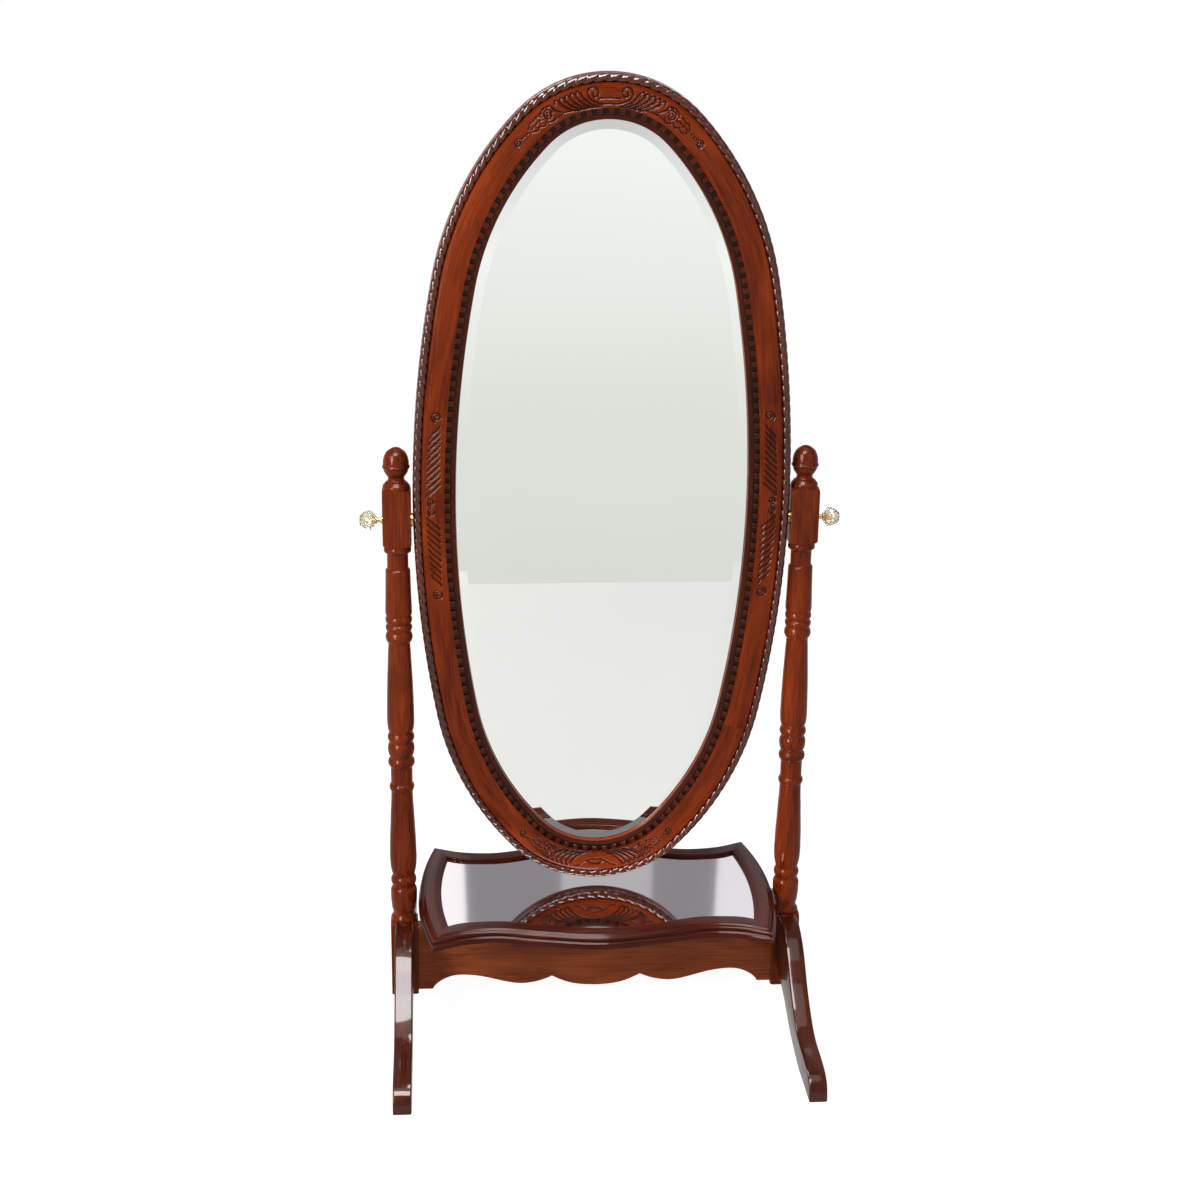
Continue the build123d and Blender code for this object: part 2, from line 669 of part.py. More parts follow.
# Pivot hardware, alike on both sides
for side, side_name in ((-1, "left"), (1, "right")):
    with BuildPart() as washer:
        with Locations(Plane((side * (block_inner - washer_thickness / 2), 0, pivot_height), z_dir=(1, 0, 0))):
            Cylinder(washer_radius, washer_thickness)
            Cylinder(rod_radius + running_gap, block_inner, mode=Mode.SUBTRACT)
    washer.part.label = f"{side_name}_washer"
    export_step(washer.part, f"parts/{side_name}_washer.step")

    with BuildPart() as insert:
        with Locations(Plane((side * insert_x, 0, pivot_height), z_dir=(1, 0, 0))):
            Cylinder(insert_radius, insert_length / 2)
            Cylinder(rod_radius + running_gap, insert_length, mode=Mode.SUBTRACT)
    insert.part.label = f"{side_name}_insert"
    export_step(insert.part, f"parts/{side_name}_insert.step")

    knob_start = block_outer + shank_length
    rod_tip = oval_half_width - insert_length + rod_end_gap
    with BuildPart() as rod:
        with BuildSketch(Plane.XZ) as half:
            with BuildLine():
                Polyline(
                    (rod_tip, 0), (rod_tip, rod_radius - 0.8), (rod_tip + 0.8, rod_radius),
                    (block_outer + 0.1, rod_radius), (block_outer + 0.1, rod_radius + 3.2),
                    (block_outer + 1.6, rod_radius + 3.2), (block_outer + 2.6, rod_radius + 0.4),
                    (knob_start - 2.0, rod_radius + 0.4), (knob_start - 0.8, rod_radius + 3.0),
                    (knob_start, rod_radius + 3.0), (knob_start, rod_radius - 0.5),
                    (knob_start + rod_in_knob, rod_radius - 0.5), (knob_start + rod_in_knob, 0), close=True,
                )
            make_face()
        revolve(axis=Axis.X)
    rod_part = Location((0, 0, pivot_height)) * rod.part
    if side < 0:
        rod_part = mirror(rod_part, about=Plane.YZ)
    rod_part.label = f"{side_name}_rod"
    export_step(rod_part, f"parts/{side_name}_rod.step")

    with BuildPart() as knob:
        stations = ((0.0, knob_neck), (6.5, knob_radius), (13.0, knob_radius), (20.5, 11.0), (24.5, 7.5))
        for (start, low), (stop, high) in zip(stations, stations[1:]):
            with BuildPart(mode=Mode.PRIVATE) as stage:
                with BuildSketch(Plane.YZ.offset(knob_start + start * knob_length / 24.5)):
                    RegularPolygon(low, knob_sides)
                with BuildSketch(Plane.YZ.offset(knob_start + stop * knob_length / 24.5)):
                    RegularPolygon(high, knob_sides)
                loft(ruled=True)
            add(stage.part)
        with Locations(Plane((knob_start + rod_in_knob / 2, 0, 0), z_dir=(1, 0, 0))):
            Cylinder(rod_radius - 0.5, rod_in_knob, mode=Mode.SUBTRACT)
    knob_part = Location((0, 0, pivot_height)) * knob.part
    if side < 0:
        knob_part = mirror(knob_part, about=Plane.YZ)
    knob_part.label = f"{side_name}_knob"
    export_step(knob_part, f"parts/{side_name}_knob.step")

with BuildPart() as bearer_screws:
    for side in (-1, 1):
        for y in bearer_screw_y:
            with Locations((side * bearer_x, y, shelf_bottom - bearer_thickness / 2 + screw_bite / 2)):
                Cylinder(screw_radius, screw_bite)
bearer_screws.part.label = "bearer_screws"
export_step(bearer_screws.part, "parts/bearer_screws.step")
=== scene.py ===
from math import atan2, cos, pi, radians, sin, sqrt

import bmesh
import bpy
import numpy as np
from mathutils import Matrix, Vector
from mathutils.geometry import tessellate_polygon


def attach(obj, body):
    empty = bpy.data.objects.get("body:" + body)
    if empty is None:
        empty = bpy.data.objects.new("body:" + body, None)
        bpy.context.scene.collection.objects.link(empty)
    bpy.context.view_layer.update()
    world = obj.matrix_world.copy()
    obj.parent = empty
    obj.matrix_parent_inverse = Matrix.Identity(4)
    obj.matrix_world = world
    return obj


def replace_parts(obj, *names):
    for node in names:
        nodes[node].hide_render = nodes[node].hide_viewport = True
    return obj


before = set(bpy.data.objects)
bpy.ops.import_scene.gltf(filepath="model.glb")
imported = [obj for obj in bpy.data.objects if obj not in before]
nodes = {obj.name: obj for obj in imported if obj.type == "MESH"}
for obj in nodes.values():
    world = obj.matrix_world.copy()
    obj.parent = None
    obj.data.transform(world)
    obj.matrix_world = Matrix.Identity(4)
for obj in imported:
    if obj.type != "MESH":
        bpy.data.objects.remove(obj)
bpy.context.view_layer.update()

mm = 0.001
mergeGap = 2e-6  # metres; points closer than this become one
print("frame loaded:", len(nodes), "nodes")


# Puts grids of points into one mesh: each grid is rows x columns of points, joined row to row.
# Rows that shrink to a point close a pole, and a repeated first column closes a seam. The second map
# carries how deep a point lies in a hollow, and the colour is darkened there as painted shade.
def meshFromGrids(name, grids, body, material, sharp=32.0, flat=False, uvs=None, wear=None, outward=True):
    corners, points, uvRows, start = [], [], [], 0
    for number, grid in enumerate(grids):
        rows, columns = grid.shape[:2]
        index = start + np.arange(rows * columns).reshape(rows, columns)
        quads = np.stack([index[:-1, :-1], index[1:, :-1], index[1:, 1:], index[:-1, 1:]], -1).reshape(-1, 4)
        corners.append(quads)
        points.append(grid.reshape(-1, 3))
        uvRows.append((uvs[number] if uvs else np.zeros((rows, columns, 2))).reshape(-1, 2))
        start += rows * columns
    corners, points, uvRows = np.concatenate(corners), np.concatenate(points) * mm, np.concatenate(uvRows)
    mesh = bpy.data.meshes.new(name)
    mesh.vertices.add(len(points))
    mesh.vertices.foreach_set("co", points.ravel())
    mesh.loops.add(corners.size)
    mesh.loops.foreach_set("vertex_index", corners.ravel().astype(np.int32))
    mesh.polygons.add(len(corners))
    mesh.polygons.foreach_set("loop_start", np.arange(0, corners.size, 4, dtype=np.int32))
    mesh.update(calc_edges=True)
    if uvs:
        layer = mesh.uv_layers.new(name="grain")
        layer.uv.foreach_set("vector", uvRows[corners.ravel()].ravel().astype(np.float32))
    if wear is not None:
        layer = mesh.uv_layers.new(name="wear")
        hollow = np.stack([wear.ravel(), np.zeros(wear.size)], -1)
        layer.uv.foreach_set("vector", hollow[corners.ravel()].ravel().astype(np.float32))
    work = bmesh.new()
    work.from_mesh(mesh)
    bmesh.ops.remove_doubles(work, verts=work.verts, dist=mergeGap)
    bmesh.ops.dissolve_degenerate(work, edges=work.edges, dist=mergeGap / 2)
    if outward:
        bmesh.ops.recalc_face_normals(work, faces=work.faces)
    work.to_mesh(mesh)
    work.free()
    mesh.polygons.foreach_set("use_smooth", np.full(len(mesh.polygons), not flat))
    if not flat:
        mesh.set_sharp_from_angle(angle=radians(sharp))
    piece = bpy.data.objects.new(name, mesh)
    bpy.context.scene.collection.objects.link(piece)
    piece.data.materials.append(material)
    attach(piece, body)
    return piece


# Cubic between two values with a given slope at each, at a share of the way
def cubic(share, first, last, slopeFirst, slopeLast):
    square, cube = share**2, share**3
    return (
        (2 * cube - 3 * square + 1) * first + (cube - 2 * square + share) * slopeFirst
        + (3 * square - 2 * cube) * last + (cube - square) * slopeLast
    )


# Smooth curve through listed points: each piece is a cubic with the slope of its neighbours' chord.
def smoothCurve(points, perPiece):
    points = np.asarray(points, float)
    before = np.vstack([2 * points[0] - points[1], points[:-1]])
    after = np.vstack([points[1:], 2 * points[-1] - points[-2]])
    slope = (after - before) / 2
    share = np.linspace(0, 1, perPiece, endpoint=False)[None, :, None]
    curve = cubic(share, points[:-1, None], points[1:, None], slope[:-1, None], slope[1:, None])
    return np.vstack([curve.reshape(-1, points.shape[1]), points[-1:]])


# Value at x from a table of (x, value), as cubics whose slope is the weighted harmonic mean of the
# chords beside it and 0 at a turn, so that turned beads keep their listed widest points.
def monotone(x, table):
    xs, ys = np.asarray(table, float).T
    step = np.diff(xs)
    chord = np.diff(ys) / step
    slope = np.zeros_like(ys)
    same = chord[:-1] * chord[1:] > 0
    before, after = step[:-1] + 2 * step[1:], 2 * step[:-1] + step[1:]
    with np.errstate(divide="ignore", invalid="ignore"):
        mean = (before + after) / (before / chord[:-1] + after / chord[1:])
    slope[1:-1] = np.where(same, mean, 0)
    slope[0], slope[-1] = chord[0], chord[-1]
    at = np.clip(np.searchsorted(xs, x, side="right") - 1, 0, len(step) - 1)
    share = (x - xs[at]) / step[at]
    return cubic(share, ys[at], ys[at + 1], step[at] * slope[at], step[at] * slope[at + 1])


def newMaterial(name):
    material = bpy.data.materials.new(name)
    material.use_nodes = True
    tree = material.node_tree
    tree.nodes.clear()
    out = tree.nodes.new("ShaderNodeOutputMaterial")
    shader = tree.nodes.new("ShaderNodeBsdfPrincipled")
    tree.links.new(shader.outputs["BSDF"], out.inputs["Surface"])
    return material, tree, shader


def addNode(tree, kind, **values):
    node = tree.nodes.new(kind)
    for key, value in values.items():
        if key in node.inputs:
            node.inputs[key].default_value = value
        else:
            setattr(node, key, value)
    return node


def ramp(tree, stops, source):
    node = tree.nodes.new("ShaderNodeValToRGB")
    while len(node.color_ramp.elements) < len(stops):
        node.color_ramp.elements.new(0.5)
    for element, (place, colour) in zip(node.color_ramp.elements, stops):
        element.position = place
        element.color = (*colour, 1.0)
    tree.links.new(source, node.inputs["Fac"])
    return node.outputs["Color"]


# Stretches the values between low and high to lie between toLow and toHigh
def remap(tree, source, low=0.0, high=1.0, toLow=0.0, toHigh=1.0):
    node = tree.nodes.new("ShaderNodeMapRange")
    for key, value in (("From Min", low), ("From Max", high), ("To Min", toLow), ("To Max", toHigh)):
        node.inputs[key].default_value = value
    tree.links.new(source, node.inputs["Value"])
    return node.outputs["Result"]


def objectNoise(tree, scale, detail):
    noise = addNode(tree, "ShaderNodeTexNoise", Scale=scale, Detail=detail)
    tree.links.new(addNode(tree, "ShaderNodeTexCoord").outputs["Object"], noise.inputs["Vector"])
    return noise.outputs["Fac"]


# The lacquered mahogany that most pieces share. Figure runs from slow clouds at 0 to fine fibres
# at 1, and along is the way the grain runs.
# Its last switch darkens the wood in its hollows as painted shade.
woodFinish = {
    "along": "map", "dark": (0.055, 0.0050, 0.0008, 1), "light": (0.320, 0.042, 0.0035, 1), "coat": 0.08,
    "figure": 0.5, "rough": 0.0, "shadedHollows": False,
}
# The last entry of lacquer is painted shade: the colour that darkens the wood in hollows.
lacquer = {
    "coatRoughness": 0.06, "bump": 0.12, "poreDepth": 0.0002, "specular": 0.08, "tint": (1.0, 0.6, 0.45, 1),
    "hollowShadeColour": (0.12, 0.08, 0.08, 1),
}
# Sizes of the grain are waves per metre, along it and across it both ways
grain = {
    "fibres": {"waves": (14.0, 420.0, 420.0), "Detail": 5.0, "Roughness": 0.62, "Distortion": 0.6},
    "clouds": {"waves": (5.0, 26.0, 26.0), "Detail": 3.0, "Roughness": 0.5, "Distortion": 1.1},
    "pores": {"waves": (90.0, 2200.0, 2200.0), "Detail": 2.0, "Roughness": 0.7},
    "contrast": (0.34, 0.66),
    "poreEdge": (0.6, 0.72),
    "poreDepth": 0.55,
    "poreStain": (0.35, 0.25, 0.22, 1),
    "roughness": (0.24, 0.36),
}


# Wood grain as a group: long fibres, darker pores and slow colour changes along the first coordinate.
def makeGrainGroup():
    group = bpy.data.node_groups.new("woodGrain", "ShaderNodeTree")
    socket, link = group.interface.new_socket, group.links.new
    socket("Vector", in_out="INPUT", socket_type="NodeSocketVector")
    for name in ("Dark", "Light"):
        socket(name, in_out="INPUT", socket_type="NodeSocketColor").default_value = woodFinish[name.lower()]
    socket("Figure", in_out="INPUT", socket_type="NodeSocketFloat").default_value = woodFinish["figure"]
    socket("Color", in_out="OUTPUT", socket_type="NodeSocketColor")
    socket("Roughness", in_out="OUTPUT", socket_type="NodeSocketFloat")
    socket("Height", in_out="OUTPUT", socket_type="NodeSocketFloat")
    inside, outside = group.nodes.new("NodeGroupInput"), group.nodes.new("NodeGroupOutput")

    def noise(waves, **settings):
        mapping = addNode(group, "ShaderNodeMapping", Scale=waves)
        link(inside.outputs["Vector"], mapping.inputs["Vector"])
        node = addNode(group, "ShaderNodeTexNoise", Scale=1.0, **settings)
        link(mapping.outputs["Vector"], node.inputs["Vector"])
        return node.outputs["Fac"]

    fibres, clouds, pores = (noise(**grain[name]) for name in ("fibres", "clouds", "pores"))
    figure = addNode(group, "ShaderNodeMix", data_type="FLOAT")
    link(inside.outputs["Figure"], figure.inputs[0])
    link(clouds, figure.inputs[2])
    link(fibres, figure.inputs[3])
    colour = addNode(group, "ShaderNodeMix", data_type="RGBA")
    link(remap(group, figure.outputs[0], *grain["contrast"]), colour.inputs[0])
    link(inside.outputs["Dark"], colour.inputs[6])
    link(inside.outputs["Light"], colour.inputs[7])
    stained = addNode(group, "ShaderNodeMix", data_type="RGBA", blend_type="MULTIPLY")
    link(remap(group, pores, *grain["poreEdge"], 0.0, grain["poreDepth"]), stained.inputs[0])
    link(colour.outputs[2], stained.inputs[6])
    stained.inputs[7].default_value = grain["poreStain"]
    link(stained.outputs[2], outside.inputs["Color"])
    link(remap(group, fibres, 0.0, 1.0, *grain["roughness"]), outside.inputs["Roughness"])
    link(pores, outside.inputs["Height"])
    return group


# Each wood names only what differs from the shared finish
woods = {
    "turnedMahogany": {"along": "Z", "coat": 0.2},
    "legMahogany": {"along": "Y", "dark": (0.022, 0.0030, 0.0007, 1), "light": (0.11, 0.017, 0.003, 1), "coat": 0.6},
    # The rail's wood is lighter and greyer than the rest: painted light and painted sheen on the rail under the
    # shelf.
    "litRailMahogany": {"along": "X", "dark": (0.15, 0.026, 0.007, 1), "light": (0.56, 0.130, 0.032, 1), "coat": 0.2},
    "platformMahogany": {"dark": (0.024, 0.0026, 0.0011, 1), "light": (0.105, 0.012, 0.003, 1), "coat": 0.17},
    "frameMahogany": {},
    "carvedMahogany": {"coat": 0.16, "shadedHollows": True},
    # The rope's wood is a darker copy of the frame's mahogany, as painted shade on the rope.
    "shadedRopeMahogany": {
        "dark": (0.028, 0.0030, 0.0006, 1), "light": (0.16, 0.019, 0.0025, 1), "coat": 0.95, "shadedHollows": True,
    },
    # The dentils' wood is a darker copy of the frame's mahogany, as painted shade in their cove.
    "shadedDentilMahogany": {
        "dark": (0.022, 0.0025, 0.0006, 1), "light": (0.10, 0.013, 0.002, 1), "coat": 0.22, "shadedHollows": True,
    },
    "bareBacking": {
        "along": "Z", "dark": (0.11, 0.06, 0.03, 1), "light": (0.26, 0.16, 0.085, 1), "coat": 0.0, "rough": 0.75,
    },
    "dowelBeech": {
        "along": "Y", "dark": (0.36, 0.23, 0.12, 1), "light": (0.55, 0.4, 0.24, 1), "coat": 0.0, "rough": 0.7,
    },
}
grainTurn = {"X": (0, 0, 0), "Y": (0, 0, -pi / 2), "Z": (0, pi / 2, 0)}
grainGroup = makeGrainGroup()


# Lacquered wood; the grain runs along one axis of the object, or along the piece's own map.
def makeWood(name, along, dark, light, coat, figure, rough, shadedHollows):
    material, tree, shader = newMaterial(name)
    figured = addNode(tree, "ShaderNodeGroup", node_tree=grainGroup)
    for key, value in (("Dark", dark), ("Light", light), ("Figure", figure)):
        figured.inputs[key].default_value = value
    if along == "map":
        source = addNode(tree, "ShaderNodeUVMap", uv_map="grain").outputs["UV"]
    else:
        turn = addNode(tree, "ShaderNodeMapping", Rotation=grainTurn[along])
        tree.links.new(addNode(tree, "ShaderNodeTexCoord").outputs["Object"], turn.inputs["Vector"])
        source = turn.outputs["Vector"]
    tree.links.new(source, figured.inputs["Vector"])
    colour = figured.outputs["Color"]
    # Painted shade: the colour is multiplied darker by how deep the point lies in a hollow.
    if shadedHollows:
        apart = addNode(tree, "ShaderNodeSeparateXYZ")
        tree.links.new(addNode(tree, "ShaderNodeUVMap", uv_map="wear").outputs["UV"], apart.inputs["Vector"])
        paintedShade = addNode(tree, "ShaderNodeMix", data_type="RGBA", blend_type="MULTIPLY", clamp_factor=True)
        paintedShade.inputs[7].default_value = lacquer["hollowShadeColour"]
        tree.links.new(apart.outputs["X"], paintedShade.inputs[0])
        tree.links.new(colour, paintedShade.inputs[6])
        colour = paintedShade.outputs[2]
    tree.links.new(colour, shader.inputs["Base Color"])
    if rough:
        shader.inputs["Roughness"].default_value = rough
    else:
        tree.links.new(figured.outputs["Roughness"], shader.inputs["Roughness"])
    bump = addNode(tree, "ShaderNodeBump", Strength=lacquer["bump"], Distance=lacquer["poreDepth"])
    tree.links.new(figured.outputs["Height"], bump.inputs["Height"])
    tree.links.new(bump.outputs["Normal"], shader.inputs["Normal"])
    shader.inputs["Coat Weight"].default_value = coat
    shader.inputs["Coat Roughness"].default_value = lacquer["coatRoughness"]
    shader.inputs["Specular IOR Level"].default_value = lacquer["specular"]
    shader.inputs["Specular Tint"].default_value = lacquer["tint"]
    return material


woods = {name: makeWood(name, **{**woodFinish, **own}) for name, own in woods.items()}


silvering = {"waves": 2.0, "detail": 1.0, "from": 0.35, "to": 0.65, "darkest": 0.97}


# Silvered plate: a mirror with a faint cast and a very slow change of tone
def makeMirror(name, tint, roughness=0.0):
    material, tree, shader = newMaterial(name)
    low = tuple(channel * silvering["darkest"] for channel in tint)
    stops = (silvering["from"], low), (silvering["to"], tint)
    tone = ramp(tree, stops, objectNoise(tree, silvering["waves"], silvering["detail"]))
    tree.links.new(tone, shader.inputs["Base Color"])
    shader.inputs["Metallic"].default_value = 1.0
    shader.inputs["Roughness"].default_value = roughness
    return material


mirrorPlate = makeMirror("mirrorPlate", (0.93, 0.95, 0.93))
shelfMirror = makeMirror("platformMirror", (0.66, 0.64, 0.65), 0.055)


handling = {"waves": 900.0, "detail": 3.0, "from": 0.35, "to": 0.7, "darkest": 0.72, "roughest": 0.12}


# Metal that handling has left darker and smoother in small patches
def makeMetal(name, colour, roughness):
    material, tree, shader = newMaterial(name)
    patches = objectNoise(tree, handling["waves"], handling["detail"])
    low = tuple(channel * handling["darkest"] for channel in colour)
    stops = (handling["from"], low), (handling["to"], colour)
    tree.links.new(ramp(tree, stops, patches), shader.inputs["Base Color"])
    rough = remap(tree, patches, 0.0, 1.0, roughness, roughness + handling["roughest"])
    tree.links.new(rough, shader.inputs["Roughness"])
    shader.inputs["Metallic"].default_value = 1.0
    return material


brass = makeMetal("polishedBrass", (0.78, 0.55, 0.24), 0.14)
steel = makeMetal("plainSteel", (0.55, 0.55, 0.56), 0.3)


cutCrystal = {
    "tone": ((0.3, (0.93, 0.86, 0.68)), (0.7, (1.0, 0.97, 0.88))), "waves": 60.0, "detail": 2.0,
    "clear": 0.85, "roughness": 0.03, "index": 1.52,
}


# Clear cut crystal with a slow honey-coloured cloud
def makeCrystal():
    material, tree, shader = newMaterial("cutCrystal")
    tone = ramp(tree, cutCrystal["tone"], objectNoise(tree, cutCrystal["waves"], cutCrystal["detail"]))
    tree.links.new(tone, shader.inputs["Base Color"])
    shader.inputs["Transmission Weight"].default_value = cutCrystal["clear"]
    shader.inputs["Roughness"].default_value = cutCrystal["roughness"]
    shader.inputs["IOR"].default_value = cutCrystal["index"]
    return material


crystal = makeCrystal()
print("materials made")


post = {
    "x": 316.5, "square": 44.0, "bottom": 20.0, "blockTop": 150.0, "pivotBottom": 790.5, "pivotTop": 880.0,
    "top": 946.0, "cornerRound": 1.4, "shoulderDrop": 0.6, "shoulderStretch": 1.15, "around": 160, "crowding": 0.55,
}
# (height, diameter)
lowerTurning = [
    (150, 43.0), (152.5, 43.3), (156, 41.6), (159, 37.5), (162.0, 35.4), (165, 36.4), (169.0, 38.0), (171, 39.8),
    (174.6, 40.3), (180, 41.6), (187.0, 42.4), (194.6, 42.7), (200, 43.0), (205, 41.8), (209, 37.8),
    (212.3, 36.6), (213.8, 36.8), (216.5, 39.8), (221.0, 41.3), (225.5, 39.8), (228.2, 36.4), (230.3, 35.8),
    (233, 36.6), (236.0, 38.4), (245.0, 41.5), (254.0, 42.9), (263.0, 43.4), (272, 43.0), (290.0, 42.4),
    (325.0, 39.2), (343, 37.7), (360.0, 35.7), (376.0, 34.9), (379, 35.2), (381.6, 38.4), (385.5, 40.3),
    (389.6, 38.6), (391.6, 35.0), (394.0, 34.7), (419.0, 34.7), (421.0, 35.2), (423.6, 40.2), (428.6, 42.7),
    (433.6, 40.9), (436.2, 37.2), (438.0, 36.9), (439.6, 37.4), (442.5, 39.9), (446.0, 41.6), (452.7, 42.9),
    (458.5, 41.4), (461.6, 38.2), (463.3, 37.7), (465, 38.3), (467.5, 41.2), (471.6, 43.0), (476.0, 41.2),
    (479, 38.2), (480.5, 37.8), (482, 38.2), (484.0, 40.2), (489.0, 42.1), (496.0, 43.2), (502.0, 43.6),
    (533.0, 42.5), (567.0, 40.4), (601.0, 37.2), (617.6, 35.8), (628.5, 34.6), (631.5, 35.2), (634.5, 39.6),
    (640.5, 42.7), (645.8, 40.8), (648.6, 38.2), (650.0, 37.8), (651.2, 38.2), (653.5, 40.8), (657.0, 41.9),
    (660.2, 40.2), (661.4, 37.6), (662.4, 37.2), (663.4, 37.8), (666.0, 40.8), (670.0, 42.0), (673.2, 40.6),
    (674.8, 39.4), (675.6, 39.1), (677, 40.2), (681.0, 41.9), (692, 41.4), (709.0, 40.4), (725, 39.6),
    (741.0, 38.9), (749.3, 38.7), (751.5, 37.4), (752.6, 33.3), (754.5, 33.0), (776.0, 33.0), (777.4, 33.6),
    (778.7, 36.5), (780.4, 41.6), (783.0, 42.8), (786.4, 42.4), (788.6, 41.0), (790.5, 42.0),
]
finialTurning = [
    (880.0, 42.0), (882, 42.3), (884.5, 42.2), (887.0, 40.6), (888.6, 37.0), (890.7, 34.4), (892.6, 29.5),
    (894.4, 25.6), (896.6, 25.0), (899.0, 25.6), (901, 28.2), (903.3, 31.4), (906.5, 35.2), (909.6, 37.8),
    (912.6, 39.2), (913.6, 41.6), (915.5, 42.6), (917.2, 41.6), (918.2, 39.9), (921, 39.8), (925.4, 39.2),
    (931.7, 35.9), (937.9, 29.6), (942.6, 18.0), (945.2, 8.0), (946.0, 0.0),
]


# Radius of a post at an angle and height: the turning where it is turned, and in the blocks the
# smaller of a square with rounded corners and the turner's shoulder, a quarter ellipse at each end.
def postRadius(angle, height):
    half, corner = post["square"] / 2, post["square"] / 2 * sqrt(2)
    fold = np.abs((angle + pi / 4) % (pi / 2) - pi / 4)
    flat = half / np.cos(fold)
    roundX = half - post["cornerRound"]
    reach = roundX * (np.cos(fold) + np.sin(fold))
    cornerLine = reach + np.sqrt(np.maximum(reach**2 - 2 * roundX**2 + post["cornerRound"] ** 2, 0))
    square = np.where(half * np.tan(fold) > roundX, np.minimum(flat, cornerLine), flat)
    belowFinial = height < post["pivotTop"]
    turned = np.where(belowFinial, monotone(height, lowerTurning), monotone(height, finialTurning)) / 2

    def shoulder(distance):
        share = np.clip(distance / (corner - half) / post["shoulderStretch"], 0, 1)
        low = half - post["shoulderDrop"]
        return low + (corner - half + post["shoulderDrop"]) * np.sqrt(np.maximum(1 - (1 - share) ** 2, 0))

    foot = height - post["bottom"]
    low = np.where(foot < 0.5, np.minimum(square, shoulder(foot * 3 + 4)), square)  # the foot's arris is eased
    lowBlock = np.minimum(low, shoulder(post["blockTop"] - height))
    highBlock = np.minimum(
        square, np.minimum(shoulder(height - post["pivotBottom"]), shoulder(post["pivotTop"] - height))
    )
    inLow = height <= post["blockTop"]
    inHigh = (height >= post["pivotBottom"]) & (height <= post["pivotTop"])
    return np.where(inLow, lowBlock, np.where(inHigh, highBlock, turned))


# Angles packed close to the square's corners, and heights packed close to shoulders and beads: the
# foot, the base block and its shoulder, the turning, the pivot block between its two shoulders, the
# finial and its crown.
def postGrid():
    half = post["around"] // 8
    fold = pi / 4 * np.sin(np.linspace(0, 1, half + 1) * pi / 2) ** post["crowding"]
    quarter = np.concatenate([fold, pi / 2 - fold[::-1][1:]])
    angle = np.unique(np.round(np.concatenate([quarter + k * pi / 2 for k in range(4)]), 9))
    bottom, blockTop, top = post["bottom"], post["blockTop"], post["top"]
    pivotBottom, pivotTop = post["pivotBottom"], post["pivotTop"]
    levels = [
        np.linspace(bottom, bottom + 4, 5), np.linspace(bottom + 4, blockTop - 12, 3),
        np.linspace(blockTop - 12, blockTop, 26), np.arange(blockTop + 0.3, pivotBottom - 0.1, 1.15),
        np.linspace(pivotBottom, pivotBottom + 12.5, 26), np.linspace(pivotBottom + 12.5, pivotTop - 12, 3),
        np.linspace(pivotTop - 12, pivotTop, 26), np.linspace(pivotTop + 0.2, top - 11, 60),
        top - 11 * np.linspace(1, 0, 24) ** 2,
    ]
    return angle, np.unique(np.round(np.concatenate(levels), 4))


def buildPost(name, body, x):
    angle, height = postGrid()
    a, z = np.meshgrid(angle, height)
    radius = postRadius(a, z)
    radius[0] = radius[-1] = 0.0  # both ends close on the axis
    radius = np.vstack([radius[:1], postRadius(a[:1], z[:1] + 0.01), radius[1:]])
    a, z = np.vstack([a[:1], a]), np.vstack([z[:1], z])
    a = a + 1e-4  # turned by a hair
    grid = np.stack([x + radius * np.cos(a), radius * np.sin(a), z], -1)
    return meshFromGrids(name, [grid], body, woods["turnedMahogany"], sharp=38)


for side, name in ((-1, "left_post"), (1, "right_post")):
    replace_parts(buildPost("turned" + name.title().replace("_", ""), "stand", side * post["x"]), name)
print("posts turned")


# A closed outline carried across a thickness: rows follow a quarter circle at each arris,
# drawing the outline in by radius x (1 - sine), and two flat faces cut into triangles close the plate.
# At a sharp corner the offset's length is held back.
def roundedPlate(name, outline, place, thickness, edge, body, material, sharp=40.0):
    outline = np.asarray(outline, float)
    ahead, behind = np.roll(outline, -1, 0), np.roll(outline, 1, 0)
    first, second = ahead - outline, outline - behind
    first /= np.linalg.norm(first, axis=1)[:, None]
    second /= np.linalg.norm(second, axis=1)[:, None]
    normal = first + second
    normal = np.stack([normal[:, 1], -normal[:, 0]], -1) / (1 + (first * second).sum(1))[:, None].clip(0.35)
    area = 0.5 * np.sum(outline[:, 0] * ahead[:, 1] - ahead[:, 0] * outline[:, 1])
    normal *= np.sign(area)
    turns = np.linspace(0, pi / 2, 5)
    rows = [(edge * (1 - sin(t)), -thickness / 2 + edge * (1 - cos(t))) for t in turns]
    rows += [(inset, -depth) for inset, depth in rows[::-1]]
    grid = np.stack([place(outline - normal * inset, depth) for inset, depth in rows])
    grid = np.concatenate([grid, grid[:, :1]], 1)
    piece = meshFromGrids(name, [grid], body, material, sharp=sharp)
    work = bmesh.new()
    work.from_mesh(piece.data)
    for near, far in ((grid[0, :-1], grid[-1, :-1]), (grid[-1, :-1], grid[0, :-1])):
        corners = [Vector(point * mm) for point in near]
        facing = Vector((near - far).mean(0))
        verts = [work.verts.new(corner) for corner in corners]
        for a, b, c in tessellate_polygon([corners]):
            turned = (corners[b] - corners[a]).cross(corners[c] - corners[a]).dot(facing) < 0
            face = work.faces.new([verts[i] for i in ((a, c, b) if turned else (a, b, c))])
            face.smooth = False
    bmesh.ops.remove_doubles(work, verts=work.verts, dist=mergeGap)
    work.to_mesh(piece.data)
    work.free()
    piece.data.set_sharp_from_angle(angle=radians(sharp))
    return piece


